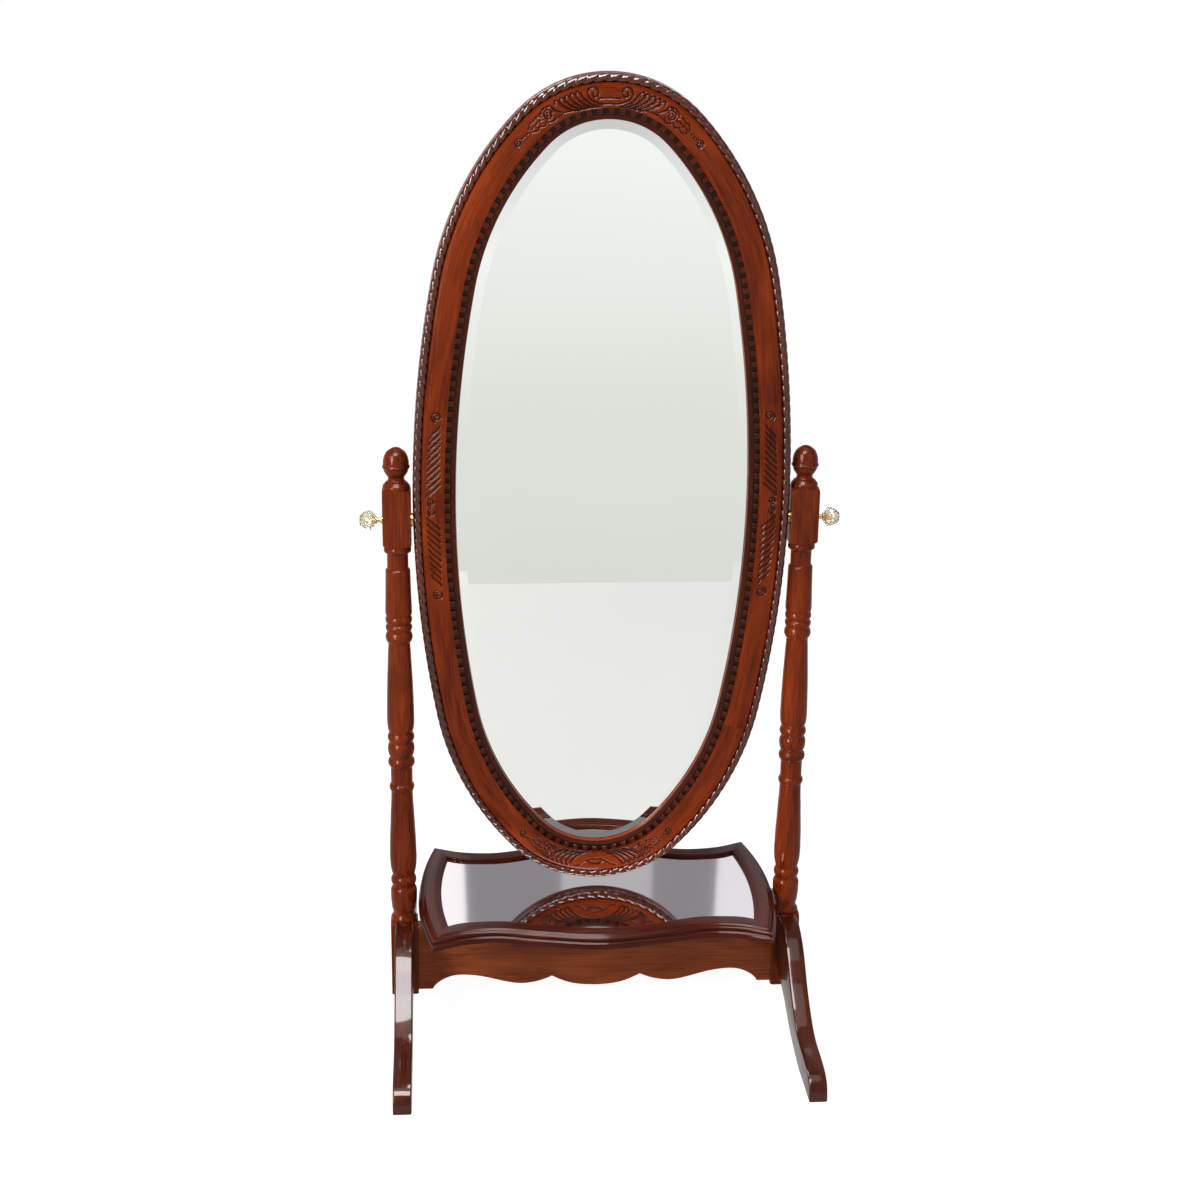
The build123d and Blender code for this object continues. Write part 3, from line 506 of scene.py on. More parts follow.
# The sides of a leg as (distance from the post's middle, height)
leg = {
    "thickness": 28.5, "edge": 2.2, "seat": 22.0, "reach": 351.0, "heel": 300.0,
    "top": [
        (22, 152), (40, 153.6), (60, 153.0), (76, 149), (89, 144), (104, 136), (124, 121), (144, 101.5),
        (160, 87.5), (178, 74.5), (196, 62.8), (212, 54), (229, 47.5), (246, 44), (262, 42.4), (280, 41.6),
        (300, 40.4), (316, 38.6), (328, 35.8), (338, 31.2), (345, 24.5), (349.4, 15.5), (351, 6),
    ],
    "under": [
        (250, 0), (240, 2.2), (222, 5.0), (205, 8.2), (184, 13), (164, 18.6), (136, 29), (109, 40.2), (88, 46),
        (60, 52.5), (40, 56), (22, 58),
    ],
}


def legOutline():
    sole = [(leg["reach"], 0.0), (leg["heel"], 0.0)]
    seat = [(leg["seat"], 90), (leg["seat"], 120)]
    return np.vstack([smoothCurve(leg["top"], 8), sole, smoothCurve(leg["under"], 8), seat])


# Sets a flat outline upright beside a post, with its first coordinate to the front or the back
def besidePost(side, face):
    def place(flat, depth):
        return np.stack([np.full(len(flat), side * post["x"] + depth), face * flat[:, 0], flat[:, 1]], -1)

    return place


for side, sideName in ((-1, "left"), (1, "right")):
    for face, faceName in ((-1, "front"), (1, "back")):
        piece = roundedPlate(
            sideName + faceName.title() + "SabreLeg", legOutline(), besidePost(side, face), leg["thickness"],
            leg["edge"], "stand", woods["legMahogany"],
        )
        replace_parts(piece, f"{sideName}_{faceName}_leg")

# The scallops as (distance from the middle, height)
rail = {
    "front": -21.0, "thickness": 23.5, "edge": 1.2, "end": 294.5, "endTop": 143.0, "shoulder": 262.0, "top": 177.5,
    "bottom": 28.0,
    "sideLobe": [
        (271, 28), (269.6, 31), (266, 35.6), (257, 43), (242, 50), (226, 52.5), (208, 51.6), (190, 48.8),
        (172, 44.2), (155, 39.4), (139, 35.6), (123, 34), (109, 35.2), (95, 38), (83, 42.2), (73.5, 46.5),
    ],
    "middleLobe": [(73.5, 46.5), (64, 41.6), (52, 36.2), (38, 31.8), (20, 29), (0, 28)],
}


def railOutline():
    end = [(rail["end"], rail["endTop"]), (rail["end"], rail["bottom"])]
    half = np.vstack([end, smoothCurve(rail["sideLobe"], 5), smoothCurve(rail["middleLobe"], 5)[1:]])
    top = [
        (-rail["shoulder"], rail["endTop"]), (-rail["shoulder"], rail["top"]),
        (rail["shoulder"], rail["top"]), (rail["shoulder"], rail["endTop"]),
    ]
    return np.vstack([half, half[:-1][::-1] * [-1, 1], top])


def placeRail(flat, depth):
    middle = rail["front"] + rail["thickness"] / 2
    return np.stack([flat[:, 0], np.full(len(flat), middle + depth), flat[:, 1]], -1)


scalloped = roundedPlate(
    "scallopedRail", railOutline(), placeRail, rail["thickness"], rail["edge"], "stand", woods["litRailMahogany"]
)
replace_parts(scalloped, "apron")
print("legs and rail cut")


# The front edge as (across, depth) from a corner to the middle, and the frame's section as
# (out from the top edge, level under the top face)
shelf = {
    "top": 198.2, "bow": 21.0, "perRun": 96,
    "wave": [(263.5, 164.0), (225, 147.5), (184, 141), (150, 143.2), (95, 156.5), (0, 171)],
    "section": [
        (-29.0, -5.0), (-29.0, -3.4), (-27.6, -3.2), (-27.4, -2.0), (-26.4, -1.8), (-26.0, -0.5), (-25.4, -0.1),
        (-24.6, 0.0), (-4.2, 0.0), (-3.0, -0.05), (-2.1, -0.5), (-1.7, -1.2), (-0.8, -2.0), (0.6, -2.4),
        (2.2, -2.7), (4.0, -3.3), (5.2, -4.4), (5.8, -6.0), (5.6, -7.6), (4.8, -8.8), (3.9, -9.4), (3.7, -10.2),
        (4.2, -11.2), (5.6, -11.9), (6.9, -12.9), (7.6, -14.4), (8.0, -16.4), (8.3, -18.6), (8.4, -20.0),
        (7.9, -20.7), (-23.5, -20.7), (-23.5, -5.0), (-29.0, -5.0),
    ],
}


# Points of the platform's top edge in four runs, from corner to corner, each with the direction of its
# offsets: the outward normal, plus a part along the run that falls evenly from the corner's mitre to
# nothing at mid-run, so that no offset line crosses another. The ends are arcs of a circle.
def shelfPath():
    cornerX, cornerY = shelf["wave"][0]
    wave = np.array(shelf["wave"], float)
    fine = smoothCurve(np.vstack([wave * [-1, 1], wave[:-1][::-1]]), 24)
    x = np.linspace(-cornerX, cornerX, shelf["perRun"])
    front = np.stack([x, -np.interp(x, fine[:, 0], fine[:, 1])], -1)
    radius = (cornerY**2 + shelf["bow"] ** 2) / (2 * shelf["bow"])
    sweep = np.linspace(-1, 1, shelf["perRun"]) * np.arcsin(cornerY / radius)
    right = np.stack([cornerX + shelf["bow"] - radius + radius * np.cos(sweep), radius * np.sin(sweep)], -1)
    runs = [front, right, -front, -right]
    tangents = [np.gradient(run, axis=0) for run in runs]
    tangents = [tangent / np.linalg.norm(tangent, axis=1)[:, None] for tangent in tangents]
    normals = [np.stack([tangent[:, 1], -tangent[:, 0]], -1) for tangent in tangents]
    ends = [(normals[k][-1], normals[(k + 1) % 4][0]) for k in range(4)]
    mitres = [(a + b) / (1 + a @ b) for a, b in ends]
    share = np.linspace(0, 1, shelf["perRun"])[:, None]
    directions = []
    for number, (tangent, normal) in enumerate(zip(tangents, normals)):
        first, last = mitres[number - 1] @ tangent[0], mitres[number] @ tangent[-1]
        lean = first * (1 - 2 * share).clip(0) + last * (2 * share - 1).clip(0)
        directions.append(normal + tangent * lean)
    return runs, directions


# The section carried round the four runs: each point is the path plus out x direction
def buildShelf():
    out, down = np.array(shelf["section"]).T
    grids, maps = [], []
    for run, direction in zip(*shelfPath()):
        flat = run[:, None] + direction[:, None] * out[None, :, None]
        height = np.broadcast_to(shelf["top"] + down, flat.shape[:2])
        grids.append(np.dstack([flat, height]))
        along = np.concatenate([[0], np.cumsum(np.linalg.norm(np.diff(run, axis=0), axis=1))]) * mm
        across = np.concatenate([[0], np.cumsum(np.hypot(np.diff(out), np.diff(down)))]) * mm
        u, v = np.meshgrid(along, across, indexing="ij")
        maps.append(np.stack([u, v + 0.3 * len(maps)], -1))
    return meshFromGrids("mouldedPlatform", grids, "stand", woods["platformMahogany"], sharp=50, uvs=maps)


def dress(name, material):
    nodes[name].data.materials.clear()
    nodes[name].data.materials.append(material)


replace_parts(buildShelf(), "shelf_frame")
dress("shelf_glass", shelfMirror)
print("platform moulded")


# The oval's outer edge is eight arcs; insets are measured in from it, and levels out of the back face
oval = {
    "halfWidth": 292.0, "halfHeight": 650.2, "sideRadius": 1900.0, "shoulderRadius": 480.0,
    "sideAngle": radians(10.6), "rise": 25.4, "tilt": radians(3.33), "pivotFromBack": 8.5, "pivotHeight": 830.5,
}


# (centre x, centre y, radius, first angle, last angle) of each arc, anticlockwise from the right side
def ovalArcs():
    turn, big, side = oval["sideAngle"], oval["shoulderRadius"], oval["sideRadius"]
    sideX = oval["halfWidth"] - side
    shoulderX, shoulderY = sideX + (side - big) * cos(turn), (side - big) * sin(turn)
    drop = oval["halfHeight"] - shoulderY
    endRadius = (big**2 - shoulderX**2 - drop**2) / (2 * (big - drop))
    endY = oval["halfHeight"] - endRadius
    end = atan2(endY - shoulderY, -shoulderX)
    return [
        (sideX, 0, side, 0, turn), (shoulderX, shoulderY, big, turn, end), (0, endY, endRadius, end, pi - end),
        (-shoulderX, shoulderY, big, pi - end, pi - turn), (-sideX, 0, side, pi - turn, pi + turn),
        (-shoulderX, -shoulderY, big, pi + turn, pi + end), (0, -endY, endRadius, pi + end, 2 * pi - end),
        (shoulderX, -shoulderY, big, 2 * pi - end, 2 * pi - turn), (sideX, 0, side, 2 * pi - turn, 2 * pi),
    ]


arcs = np.array(ovalArcs())
arcEnds = np.concatenate([[0], np.cumsum(arcs[:, 2] * (arcs[:, 4] - arcs[:, 3]))])
perimeter = arcEnds[-1]
quarter = perimeter / 4


# Point and outward normal at a distance along the outer edge, from the right side anticlockwise:
# each arc's centre plus its radius times the direction reached.
def ovalAt(distance):
    distance = np.mod(distance, perimeter)
    number = np.clip(np.searchsorted(arcEnds, distance, side="right") - 1, 0, len(arcs) - 1)
    table = arcs[number]
    turn = table[..., 3] + (distance - arcEnds[number]) / table[..., 2]
    normal = np.stack([np.cos(turn), np.sin(turn)], -1)
    return table[..., :2] + table[..., 2:3] * normal + [0, oval["rise"]], normal


# Distance along the outer edge that faces a distance along an inset line, both from the right side
def fromInset(along, inset):
    ends = np.concatenate([[0], np.cumsum((arcs[:, 2] - inset) * (arcs[:, 4] - arcs[:, 3]))])
    lap = np.floor(along / ends[-1])
    return np.interp(along - lap * ends[-1], ends, arcEnds) + lap * perimeter


forward = np.array([0, -cos(oval["tilt"]), -sin(oval["tilt"])])
upward = np.array([0, -sin(oval["tilt"]), cos(oval["tilt"])])
backOrigin = np.array([0, 0, oval["pivotHeight"]]) - forward * oval["pivotFromBack"]


# From the frame's own plane to the room: across, up the plane, and out of its back face
def toRoom(flat, level):
    return backOrigin + flat[..., :1] * [1, 0, 0] + flat[..., 1:2] * upward + np.asarray(level)[..., None] * forward


# A ring of one section: inset from the outer edge and level above the back, at each distance
def ovalRing(distance, inset, level):
    edge, normal = ovalAt(distance)
    if inset.ndim == 1:
        inset, level = (np.broadcast_to(row, (len(distance), len(row))) for row in (inset, level))
    return toRoom(edge[:, None] - normal[:, None] * inset[..., None], level)


def ringMap(distance, inset, level):
    step = np.concatenate([[0], np.cumsum(np.hypot(np.diff(inset), np.diff(level)))])
    u, v = np.meshgrid(distance * mm, step * mm, indexing="ij")
    return np.stack([u, v], -1)


# Section of the frame as (inset, level): rope seat, edge, back, rebates, lip and the face's two sides
frameBody = {
    "stations": 601,
    "section": [
        (15.3, 26.2), (15.3, 24.6), (13.5, 24.6), (13.5, 14.5), (0.9, 14.5), (0.25, 14.3), (0.07, 13.6), (0.07, 1.5),
        (0.4, 0.4), (1.5, 0.0), (43.4, 0.0), (44.0, 0.5), (44.0, 4.02), (59.5, 4.02), (59.5, 15.6), (65.8, 15.6),
        (65.8, 19.0), (49.0, 19.0), (49.0, 26.2),
    ],
}


def buildFrameBody():
    stations = np.linspace(0, perimeter, frameBody["stations"])
    inset, level = np.array(frameBody["section"]).T
    return meshFromGrids(
        "ovalFrameBody", [ovalRing(stations, inset, level)], "mirror", woods["frameMahogany"], sharp=40,
        uvs=[ringMap(stations, inset, level)], outward=False,
    )


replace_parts(buildFrameBody(), "oval_frame")


# Strokes of the carving, as points (along, across) in mm from the middle of the panel, with width and depth;
# across is 0 on the middle of the face and grows outwards. A spiral's radius falls evenly to 0.22 of itself.
def spiral(centre, radius, turns, start, hand, width, depth):
    share = np.linspace(0, 1, int(18 * turns) + 2)
    angle = start + hand * 2 * pi * turns * share
    reach = radius * (1 - 0.78 * share)
    line = np.stack([centre[0] + reach * np.cos(angle), centre[1] + reach * np.sin(angle)], -1)
    return line, width, depth


def stroke(points, width, depth):
    return smoothCurve(points, 6), width, depth


# Feather strokes between two spirals, each pair a little shorter than the one before
def sideStrokes(half):
    strokes = [spiral((8, 3), 6.5, 1.4, pi, -1, 1.2, 1.7), stroke([(14, 7), (20, 10), (27, 8)], 1.1, 1.3)]
    for number in range(10):
        at, small = 17 + 10.5 * number, 1 - 0.035 * number
        strokes.append(stroke([(at, 11 * small), (at + 5, 5), (at + 12, -2.5), (at + 20, -10 * small)], 1.35, 1.8))
        strokes.append(stroke([(at + 5.5, 8 * small), (at + 10, 3), (at + 16, -3.5)], 0.9, 1.0))
    return strokes + [spiral((half - 12, -1), 8.5, 1.5, pi * 0.9, -1, 1.3, 1.7)]


# What stands in the middle of the top panel, two scrolls, and of the bottom one, a shallow shell
crestStrokes = {
    "top": [
        ([(0, -3.5), (20, -3.5)], 1.2, 1.7),
        ([(0, -11.5), (14, -11.5), (24, -8.5), (33, -4), (38.5, 3.5), (36.5, 10.5), (29.5, 13.5), (22, 10.5),
          (20.5, 4), (25, -0.5), (30, 1.5), (29.5, 6)], 1.35, 1.9),
    ],
    "bottom": [
        ([(0, 4.5), (8, 3.8), (15, 1.0)], 1.6, 1.8),
        ([(0, -4), (9, -3.5), (20, 1), (30, 8), (38, 11)], 1.2, 1.6),
    ],
}
# The tendril and its leaves, drawn for a panel whose half length less 10 is tendrilLength
tendrilLength = 178
tendrilStrokes = [
    ([(18, -15.2), (40, -14.8), (62, -13.2), (84, -9.5), (100, -10), (110, -12)], 1.2, 1.5),
    ([(92, -6), (100, 1), (103, 8), (109, 11), (113, 6)], 1.4, 1.9),
    ([(104, -7), (112, -11.5), (122, -8.5)], 1.2, 1.7), ([(106, 9), (115, 11.5), (125, 7)], 1.2, 1.7),
    ([(123, -6), (131, -9.5), (140, -5)], 1.2, 1.6), ([(125, 3), (132, 8), (141, 6)], 1.2, 1.6),
    ([(126, -1), (134, 1), (143, -1)], 1.0, 1.4), ([(138, -5), (146, -8), (155, -3)], 1.1, 1.6),
    ([(140, 6), (147, 7.5), (155, 3)], 1.1, 1.6), ([(141, 1), (148, 0), (156, -1)], 0.9, 1.2),
]


# A crest, five curved plumes, then a tendril with leaves, a rosette, three dots and a closing spiral
def endStrokes(half, kind):
    strokes = [stroke(*given) for given in crestStrokes[kind]]
    for number in range(5):
        at = 22 + 9.5 * number
        plume = [(at, -14.5), (at + 13, -9), (at + 23, 0), (at + 28, 9), (at + 33, 12), (at + 35.5, 8)]
        strokes.append(stroke(plume, 1.4, 2.0))
        strokes.append(stroke([(at + 6, -14), (at + 18, -8), (at + 26, 1), (at + 30, 6)], 0.9, 1.1))
    share = (half - 10) / tendrilLength
    for points, width, depth in tendrilStrokes:
        strokes.append(stroke([(along * share, across) for along, across in points], width, depth))
    strokes.append(spiral((114 * share, 0), 8.5, 1.7, pi, -1, 1.2, 1.7))
    for along, across in ((161, 0), (167, 0.8), (172, 1.2)):
        strokes.append((np.array([(along * share, across), (along * share + 0.5, across)]), 1.6, 1.5))
    return strokes + [spiral((half - 7, 1), 6.5, 1.4, pi * 0.9, -1, 1.2, 1.7)]


# Depth of the carving: the deepest of the strokes' rounded grooves, each depth x exp(-(distance / width)^2)
def carvedDepth(along, across, half, kind):
    depth = np.zeros(along.shape)
    mirrored = np.abs(along)
    for line, width, cut in sideStrokes(half) if kind == "side" else endStrokes(half, kind):
        low, high = line.min(0) - 3.5 * width, line.max(0) + 3.5 * width
        near = (mirrored > low[0]) & (mirrored < high[0]) & (across > low[1]) & (across < high[1])
        if not near.any():
            continue
        here = np.stack([mirrored[near], across[near]], -1)
        best = np.full(len(here), 1e9)
        for a, b in zip(line[:-1], line[1:]):
            span = b - a
            share = np.clip(((here - a) @ span) / max(span @ span, 1e-9), 0, 1)
            best = np.minimum(best, np.linalg.norm(here - a - share[:, None] * span, axis=1))
        depth[near] = np.maximum(depth[near], cut * np.exp(-((best / width) ** 2)))
    return depth


# The carved face lies between two insets, with fine rows from one to another of them, so many. Margin
# is how far the grid's fine steps run past a panel's carving.
carvedFace = {"outer": 15.3, "inner": 49.0, "level": 26.2, "crown": 1.75, "power": 2.6, "step": 0.85, "margin": 6.0,
              "fine": (16.6, 47.8, 46)}
panels = {
    "top": {"middle": quarter, "half": 188.0, "kind": "top"},
    "left": {"middle": quarter * 2, "half": 158.0, "kind": "side"},
    "bottom": {"middle": quarter * 3, "half": 168.0, "kind": "bottom"},
    "right": {"middle": 0.0, "half": 158.0, "kind": "side"},
}


# A quarter of the face: level + crown x (1 - |across / half width|^power), less the carving
def buildCarvedFace(name, panel):
    reach = panel["half"] + carvedFace["margin"]
    fine = np.linspace(-reach, reach, int(reach * 2 / carvedFace["step"]))
    plain = np.linspace(reach, quarter / 2, 40)
    along = np.unique(np.concatenate([-plain, fine, plain]))
    outer, inner = carvedFace["outer"], carvedFace["inner"]
    sides = [outer, outer + 0.15, outer + 0.6], [inner - 0.5, inner - 0.15, inner]
    inset = np.concatenate([sides[0], np.linspace(*carvedFace["fine"]), sides[1]])
    middle, width = (outer + inner) / 2, (inner - outer) / 2
    crown = carvedFace["level"] + carvedFace["crown"] * (1 - (np.abs(inset - middle) / width) ** carvedFace["power"])
    s, n = np.meshgrid(along, inset, indexing="ij")
    cut = carvedDepth(s, middle - n, panel["half"], panel["kind"])
    distance = panel["middle"] + along
    # The grooves are darkened by their depth as painted shade.
    return meshFromGrids(
        name + "CarvedFace", [ovalRing(distance, n, crown[None] - cut)], "mirror", woods["carvedMahogany"], sharp=60,
        uvs=[ringMap(distance, inset, crown)], wear=np.clip(cut / 1.5, 0, 1), outward=False,
    )


for name, panel in panels.items():
    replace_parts(buildCarvedFace(name, panel), "oval_frame")
print("oval frame and carving made")

# Lay is how many lobes a hollow crosses from one side of the bead to the other
rope = {
    "lobes": 184, "perLobe": 12, "around": 17, "width": 13.5, "inset": 0.3, "seat": 14.5, "top": 28.4,
    "cut": 1.9, "lay": 1.15, "lean": 2.6, "undercut": 0.16, "fullness": 0.55,
}


# The bead's section is a half circle on a straight side, and each lobe swells by a rounded wave
# of the distance along plus the angle round it, so that the hollows lie across it on a slant.
def buildRope():
    radius = (rope["width"] - rope["inset"]) / 2
    centreInset, centreLevel = rope["inset"] + radius, rope["top"] - radius
    under, wall = rope["undercut"], rope["width"] - 0.1
    lap = perimeter - 2 * pi * centreInset
    along = np.linspace(0, lap, rope["lobes"] * rope["perLobe"] + 1)
    first = (oval["sideRadius"] - centreInset) * oval["sideAngle"]
    distance = fromInset(along - first, centreInset)
    angle = np.linspace(-under * pi, pi, rope["around"])
    inset = np.concatenate([[wall], centreInset + radius * np.cos(angle), [rope["inset"]], [wall]])
    level = np.concatenate([[rope["seat"]], centreLevel + radius * np.sin(angle), [rope["seat"]], [rope["seat"]]])
    around = np.concatenate([[angle[0]], angle, [angle[-1] + 0.5], [angle[0]]])
    bulge = np.clip(np.sin((angle + under * pi) / (1 + under)), 0.0, 1) ** 0.5
    swell = np.concatenate([[0], bulge, [0], [0]])
    swell[-3] = 0.8  # the hollows reach the outer side and run out down to the seat
    phase = rope["lobes"] * (along[:, None] - rope["lean"]) / lap + rope["lay"] * (around[None] / pi - 0.5)
    wave = np.abs(np.sin(pi * phase)) ** rope["fullness"]
    depth = rope["cut"] * (1 - wave) * swell[None]
    outInset, outLevel = inset - centreInset, level - centreLevel
    length = np.maximum(np.hypot(outInset, outLevel), 1e-6)
    n = inset[None] - depth * outInset / length
    w = level[None] - depth * outLevel / length
    # Painted shade: the colour darkens with the depth of each hollow between lobes.
    return meshFromGrids(
        "ropeBead", [ovalRing(distance, n, w)], "mirror", woods["shadedRopeMahogany"], sharp=75,
        uvs=[ringMap(distance, inset, level)], wear=(1 - wave) ** 1.5, outward=False,
    )


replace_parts(buildRope(), "rope_moulding")

# The strip's section as (inset, depth under its top, share of a block's height that stands on it)
dentil = {
    "count": 172, "length": 8.6, "height": 4.2, "outer": 49.0, "inner": 57.6, "top": 22.0,
    "section": [
        (49.0, 0, 0), (49.05, 0, 1), (49.4, 0, 1), (53.0, 0, 1), (56.9, 0, 1), (57.4, 0, 0.85), (57.6, 0, 0.3),
        (57.7, 0, 0), (60.0, 0.2, 0), (63.0, 0.8, 0), (64.8, 1.0, 0), (65.6, 1.2, 0), (65.8, 2.0, 0),
        (65.8, 3.0, 0), (49.0, 3.0, 0),
    ],
}


# A low strip that slopes to the sight edge, with square blocks standing against the face
def buildDentils():
    count, half = dentil["count"], dentil["length"] / 2
    middle = (dentil["outer"] + dentil["inner"]) / 2
    pitch = (perimeter - 2 * pi * middle) / count
    places = np.array([-pitch / 2, -half - 0.35, -half, -half + 0.5, half - 0.5, half, half + 0.35])
    raised = np.array([0, 0, 0.85, 1, 1, 0.85, 0])
    first = (oval["sideRadius"] - middle) * oval["sideAngle"]
    along = (np.arange(count)[:, None] * pitch + places[None]).ravel() - first
    distance = fromInset(along, middle)
    lift = np.tile(raised, count)
    distance, lift = np.append(distance, distance[0] + perimeter), np.append(lift, lift[0])
    inset, depth, stand = np.array(dentil["section"]).T
    flat = dentil["top"] - depth
    level = flat[None] + dentil["height"] * lift[:, None] * stand[None]
    n = np.broadcast_to(inset, level.shape)
    # The strip between the blocks and out to the sight edge is darkened as painted shade.
    return meshFromGrids(
        "dentilStrip", [ovalRing(distance, n, level)], "mirror", woods["shadedDentilMahogany"], sharp=40,
        uvs=[ringMap(distance, inset, flat)], outward=False,
        wear=0.8 * (1 - lift[:, None] * stand[None]) * (inset < dentil["inner"] + 0.4)[None],
    )


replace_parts(buildDentils(), "dentil_moulding")

plate = {"inset": 60.0, "back": 12.02, "edge": 3.0, "thickness": 5.0, "bevel": 20.0, "stations": 401}


# The bevel runs round the edge; inside it both faces are flat, in strips drawn towards the middle line
def buildPlate():
    edge, normal = ovalAt(np.linspace(0, perimeter, plate["stations"]))
    low, high = plate["back"], plate["back"] + plate["thickness"]
    rim = edge - normal * plate["inset"]
    inner = edge - normal * (plate["inset"] + plate["bevel"])
    columns = [(inner * [share, 1], low) for share in (0, 0.33, 0.66, 1)]
    columns += [(rim, low), (rim, low + plate["edge"])]
    columns += [(inner * [share, 1], high) for share in (1, 0.66, 0.33, 0)]
    grid = np.stack([toRoom(flat, np.full(len(flat), level)) for flat, level in columns], 1)
    return meshFromGrids("bevelledPlate", [grid], "mirror", mirrorPlate, sharp=1.5, outward=False)


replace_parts(buildPlate(), "mirror_glass")
print("rope, dentils and plate made")


# Stations are (distance out, radius); the one numbered turned is set half a facet round
knob = {
    "start": 349.0, "sides": 10, "turned": 3,
    "stations": [(0.0, 0.0), (0.0, 8.0), (6.5, 15.0), (13.0, 15.0), (20.5, 11.0), (24.5, 7.5), (24.5, 0.0)],
}


def buildKnob(name, body, side):
    turn = np.linspace(0, 2 * pi, knob["sides"] + 1)
    rows = []
    for number, (out, radius) in enumerate(knob["stations"]):
        angle = turn + pi / knob["sides"] * (number == knob["turned"])
        rows.append(np.stack([
            np.full(len(turn), side * (knob["start"] + out)), radius * np.cos(angle),
            oval["pivotHeight"] + radius * np.sin(angle),
        ], -1))
    return meshFromGrids(name, [np.stack(rows)], body, crystal, flat=True)


for side, sideName in ((-1, "left"), (1, "right")):
    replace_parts(buildKnob(sideName + "CutKnob", sideName + "_clamp", side), sideName + "_knob")

finishes = {
    brass: ["left_rod", "right_rod", "left_insert", "right_insert", "left_washer", "right_washer", "turn_buttons"],
    woods["bareBacking"]: ["back_board", "shelf_board", "left_bearer", "right_bearer"],
    woods["dowelBeech"]: ["leg_dowels", "apron_dowels"],
    steel: ["bearer_screws", "turn_button_screws"],
}
for material, names in finishes.items():
    for name in names:
        dress(name, material)
print("hardware dressed")


# 1 on rays that a glossy or clear surface has sent on, beside the light path they are read from
def sentOn(tree):
    path = addNode(tree, "ShaderNodeLightPath")
    either = addNode(tree, "ShaderNodeMath", operation="ADD", use_clamp=True)
    tree.links.new(path.outputs["Is Glossy Ray"], either.inputs[0])
    tree.links.new(path.outputs["Is Transmission Ray"], either.inputs[1])
    return path, either.outputs[0]


# One level for what the camera sees straight and another for what glass, metal and plate show it
def seenLevel(tree, straight, reflected):
    path, mirrored = sentOn(tree)
    share = addNode(tree, "ShaderNodeMath", operation="MULTIPLY")
    share.inputs[1].default_value = reflected
    tree.links.new(mirrored, share.inputs[0])
    total = addNode(tree, "ShaderNodeMath", operation="MULTIPLY_ADD")
    total.inputs[1].default_value = straight
    tree.links.new(path.outputs["Is Camera Ray"], total.inputs[0])
    tree.links.new(share.outputs[0], total.inputs[2])
    return total.outputs[0]


studio = {
    "floorSize": 9.0, "floorFront": -1.62, "floorTone": 0.4, "floorSeen": 0.94, "floorMirrored": 0.5,
    "skyColour": (1.0, 0.95, 0.9, 1), "skyLevel": 0.21,
    "walls": ((0.0, (0.7, 0.7, 0.7)), (0.29, (0.75, 0.77, 0.73)), (0.34, (0.79, 0.81, 0.77)),
              (0.4, (0.97, 0.99, 0.97)), (0.58, (0.40, 0.38, 0.40)), (1.0, (0.3, 0.3, 0.31))),
}


def buildFloor():
    size, front = studio["floorSize"], studio["floorFront"]
    mesh = bpy.data.meshes.new("studioFloor")
    mesh.from_pydata([(-size, front, 0), (size, front, 0), (size, size, 0), (-size, size, 0)], [], [(0, 1, 2, 3)])
    floor = bpy.data.objects.new("studioFloor", mesh)
    bpy.context.scene.collection.objects.link(floor)
    material = bpy.data.materials.new("paleFloor")
    material.use_nodes = True
    tree = material.node_tree
    tree.nodes.clear()
    out = addNode(tree, "ShaderNodeOutputMaterial")
    diffuse = addNode(tree, "ShaderNodeBsdfDiffuse", Color=(*[studio["floorTone"]] * 3, 1))
    glow = addNode(tree, "ShaderNodeEmission", Color=(1, 1, 1, 1))
    tree.links.new(seenLevel(tree, studio["floorSeen"], studio["floorMirrored"]), glow.inputs["Strength"])
    add = addNode(tree, "ShaderNodeAddShader")
    tree.links.new(diffuse.outputs["BSDF"], add.inputs[0])
    tree.links.new(glow.outputs["Emission"], add.inputs[1])
    tree.links.new(add.outputs["Shader"], out.inputs["Surface"])
    mesh.materials.append(material)


# White to the camera; to glass and metal a room whose walls are brighter just over the floor
def buildWorld():
    world = bpy.data.worlds.new("studioWorld")
    bpy.context.scene.world = world
    world.use_nodes = True
    tree = world.node_tree
    tree.nodes.clear()
    out = addNode(tree, "ShaderNodeOutputWorld")
    light = addNode(tree, "ShaderNodeBackground", Color=studio["skyColour"], Strength=studio["skyLevel"])
    seen = addNode(tree, "ShaderNodeBackground", Color=(1, 1, 1, 1))
    room = addNode(tree, "ShaderNodeBackground")
    apart = addNode(tree, "ShaderNodeSeparateXYZ")
    tree.links.new(addNode(tree, "ShaderNodeTexCoord").outputs["Generated"], apart.inputs["Vector"])
    height = remap(tree, apart.outputs["Z"], -1.0, 1.0)
    tree.links.new(ramp(tree, studio["walls"], height), room.inputs["Color"])
    path, mirrored = sentOn(tree)
    inside, mix = addNode(tree, "ShaderNodeMixShader"), addNode(tree, "ShaderNodeMixShader")
    for node, share, first, second in (
        (inside, mirrored, light.outputs["Background"], room.outputs["Background"]),
        (mix, path.outputs["Is Camera Ray"], inside.outputs["Shader"], seen.outputs["Background"]),
    ):
        tree.links.new(share, node.inputs["Fac"])
        tree.links.new(first, node.inputs[1])
        tree.links.new(second, node.inputs[2])
    tree.links.new(mix.outputs["Shader"], out.inputs["Surface"])


# A soft light of one radiance. One that only shows as a highlight lights no dull surface, and one
# that would stand in the plate as a white patch shows in no glossy one.
def softbox(name, place, target, width, height, radiance, colour=(1, 1, 1), onlyShine=False, noShine=False):
    light = bpy.data.lights.new(name, "AREA")
    light.shape, light.size, light.size_y = "RECTANGLE", width, height
    light.energy, light.color = radiance * pi * width * height, colour
    lamp = bpy.data.objects.new(name, light)
    bpy.context.scene.collection.objects.link(lamp)
    lamp.location = place
    lamp.rotation_euler = (Vector(target) - Vector(place)).to_track_quat("-Z", "Y").to_euler()
    lamp.visible_diffuse = not onlyShine
    lamp.visible_glossy = not noShine


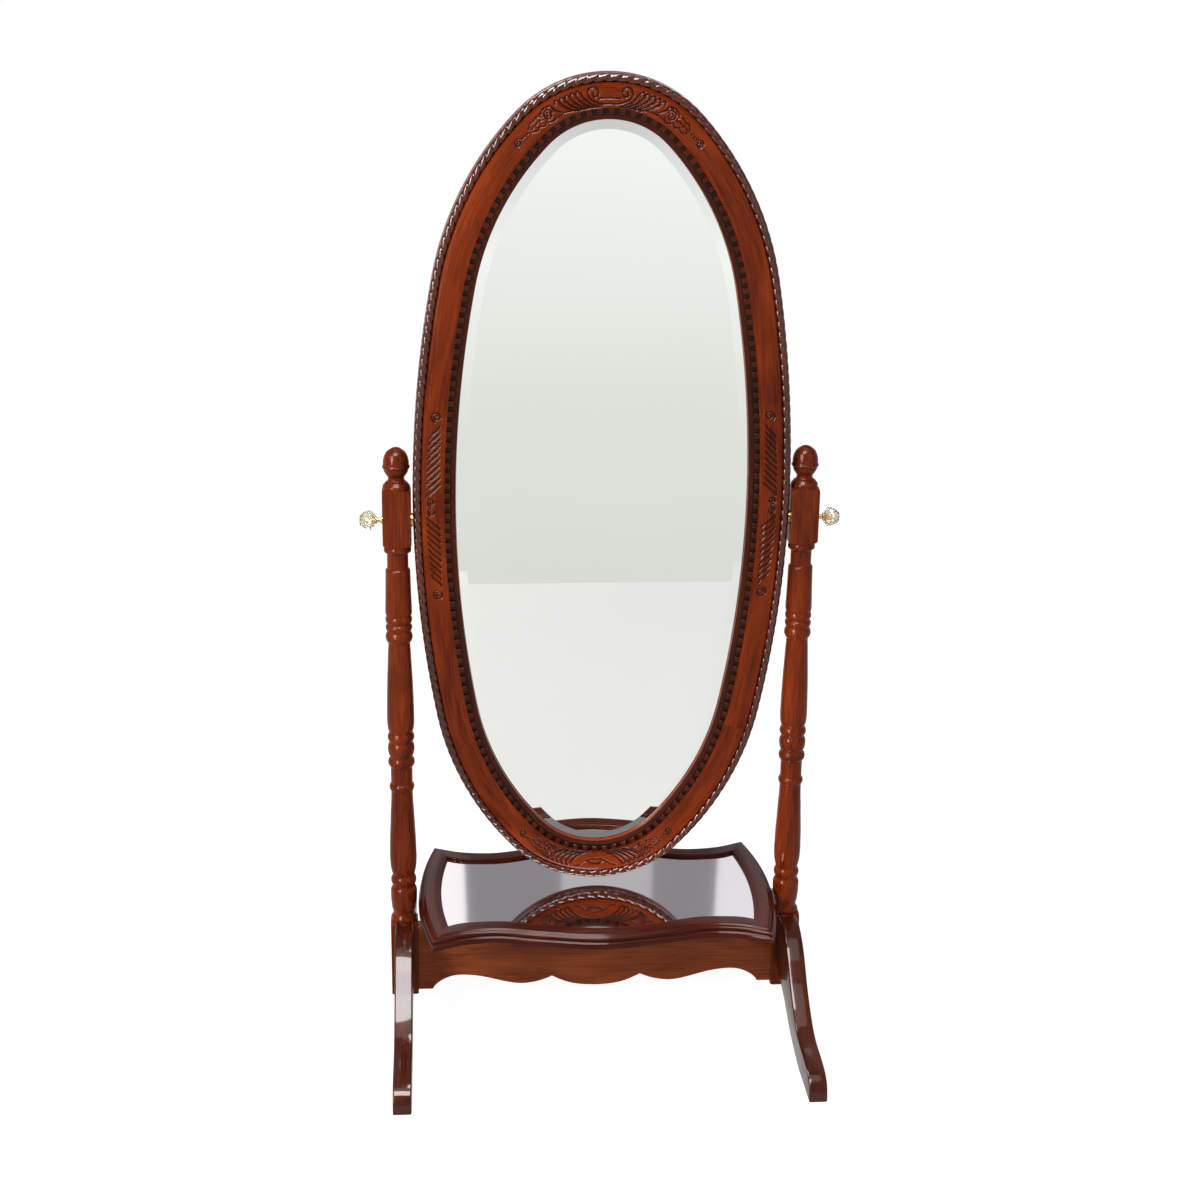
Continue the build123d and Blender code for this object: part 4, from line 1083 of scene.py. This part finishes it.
warm = (1.0, 0.95, 0.88)
# Place, target, width, height, radiance, colour
softboxes = {
    "leftSoftbox": ((-2.3, -2.2, 2.3), (0, 0, 0.8), 1.0, 1.8, 15.5, warm),
    "rightSoftbox": ((2.2, -2.4, 2.1), (0, 0, 0.8), 0.9, 1.7, 2.5, warm),
    "topSoftbox": ((0.0, -0.4, 3.4), (0, 0, 0.6), 2.4, 2.0, 1.6),
    "lowSoftbox": ((0.5, -2.8, 0.45), (0, 0, 0.3), 1.2, 0.6, 2.6, warm, False, True),
    "ceilingShine": ((-0.4, -1.3, 3.3), (-0.3, -0.2, 0.3), 1.5, 1.7, 21.0, (0.94, 0.96, 1.0), True),
    "windowShine": ((-1.7, -2.2, 1.4), (0, 0, 0.9), 0.5, 1.7, 24.0, (1.0, 0.95, 0.93), True),
    "leftWallShine": ((-0.40, 3.0, 1.7), (-0.2, 0, 0.2), 0.42, 1.4, 1.1, (1.0, 0.97, 0.98), True),
    "rightWallShine": ((0.86, 3.0, 1.7), (0.2, 0, 0.2), 0.42, 1.4, 0.8, (0.97, 0.97, 1.0), True),
    "middleWallShine": ((0.28, 3.0, 1.5), (0, 0, 0.2), 0.30, 0.9, 0.3, (1.0, 0.97, 0.96), True),
}

# Angles in degrees, and the focal length in pixels of a picture of imageWidth
camera = {
    "place": (-0.2402, -2.9420, 1.6537), "yaw": 4.659, "pitch": 17.961, "roll": -0.808,
    "focal": 1968.7, "imageWidth": 1200, "sensor": 36.0, "farthest": 60,
}


# Looks along (sin yaw cos pitch, cos yaw cos pitch, -sin pitch), then turns about that line by the roll
def buildCamera():
    yaw, pitch, roll = (radians(camera[key]) for key in ("yaw", "pitch", "roll"))
    ahead = Vector((sin(yaw) * cos(pitch), cos(yaw) * cos(pitch), -sin(pitch)))
    right = Vector((cos(yaw), -sin(yaw), 0))
    down = ahead.cross(right)
    right, down = right * cos(roll) + down * sin(roll), down * cos(roll) - right * sin(roll)
    data = bpy.data.cameras.new("photoCamera")
    data.sensor_width, data.sensor_fit = camera["sensor"], "HORIZONTAL"
    data.lens = camera["focal"] * camera["sensor"] / camera["imageWidth"]
    data.clip_end = camera["farthest"]
    view = bpy.data.objects.new("photoCamera", data)
    bpy.context.scene.collection.objects.link(view)
    turn = Matrix((right, -down, -ahead)).transposed().to_4x4()
    view.matrix_world = Matrix.Translation(camera["place"]) @ turn
    bpy.context.scene.camera = view


buildFloor()
buildWorld()
for name, settings in softboxes.items():
    softbox(name, *settings)
buildCamera()
bpy.context.scene.view_settings.view_transform = "Standard"

print("studio set")
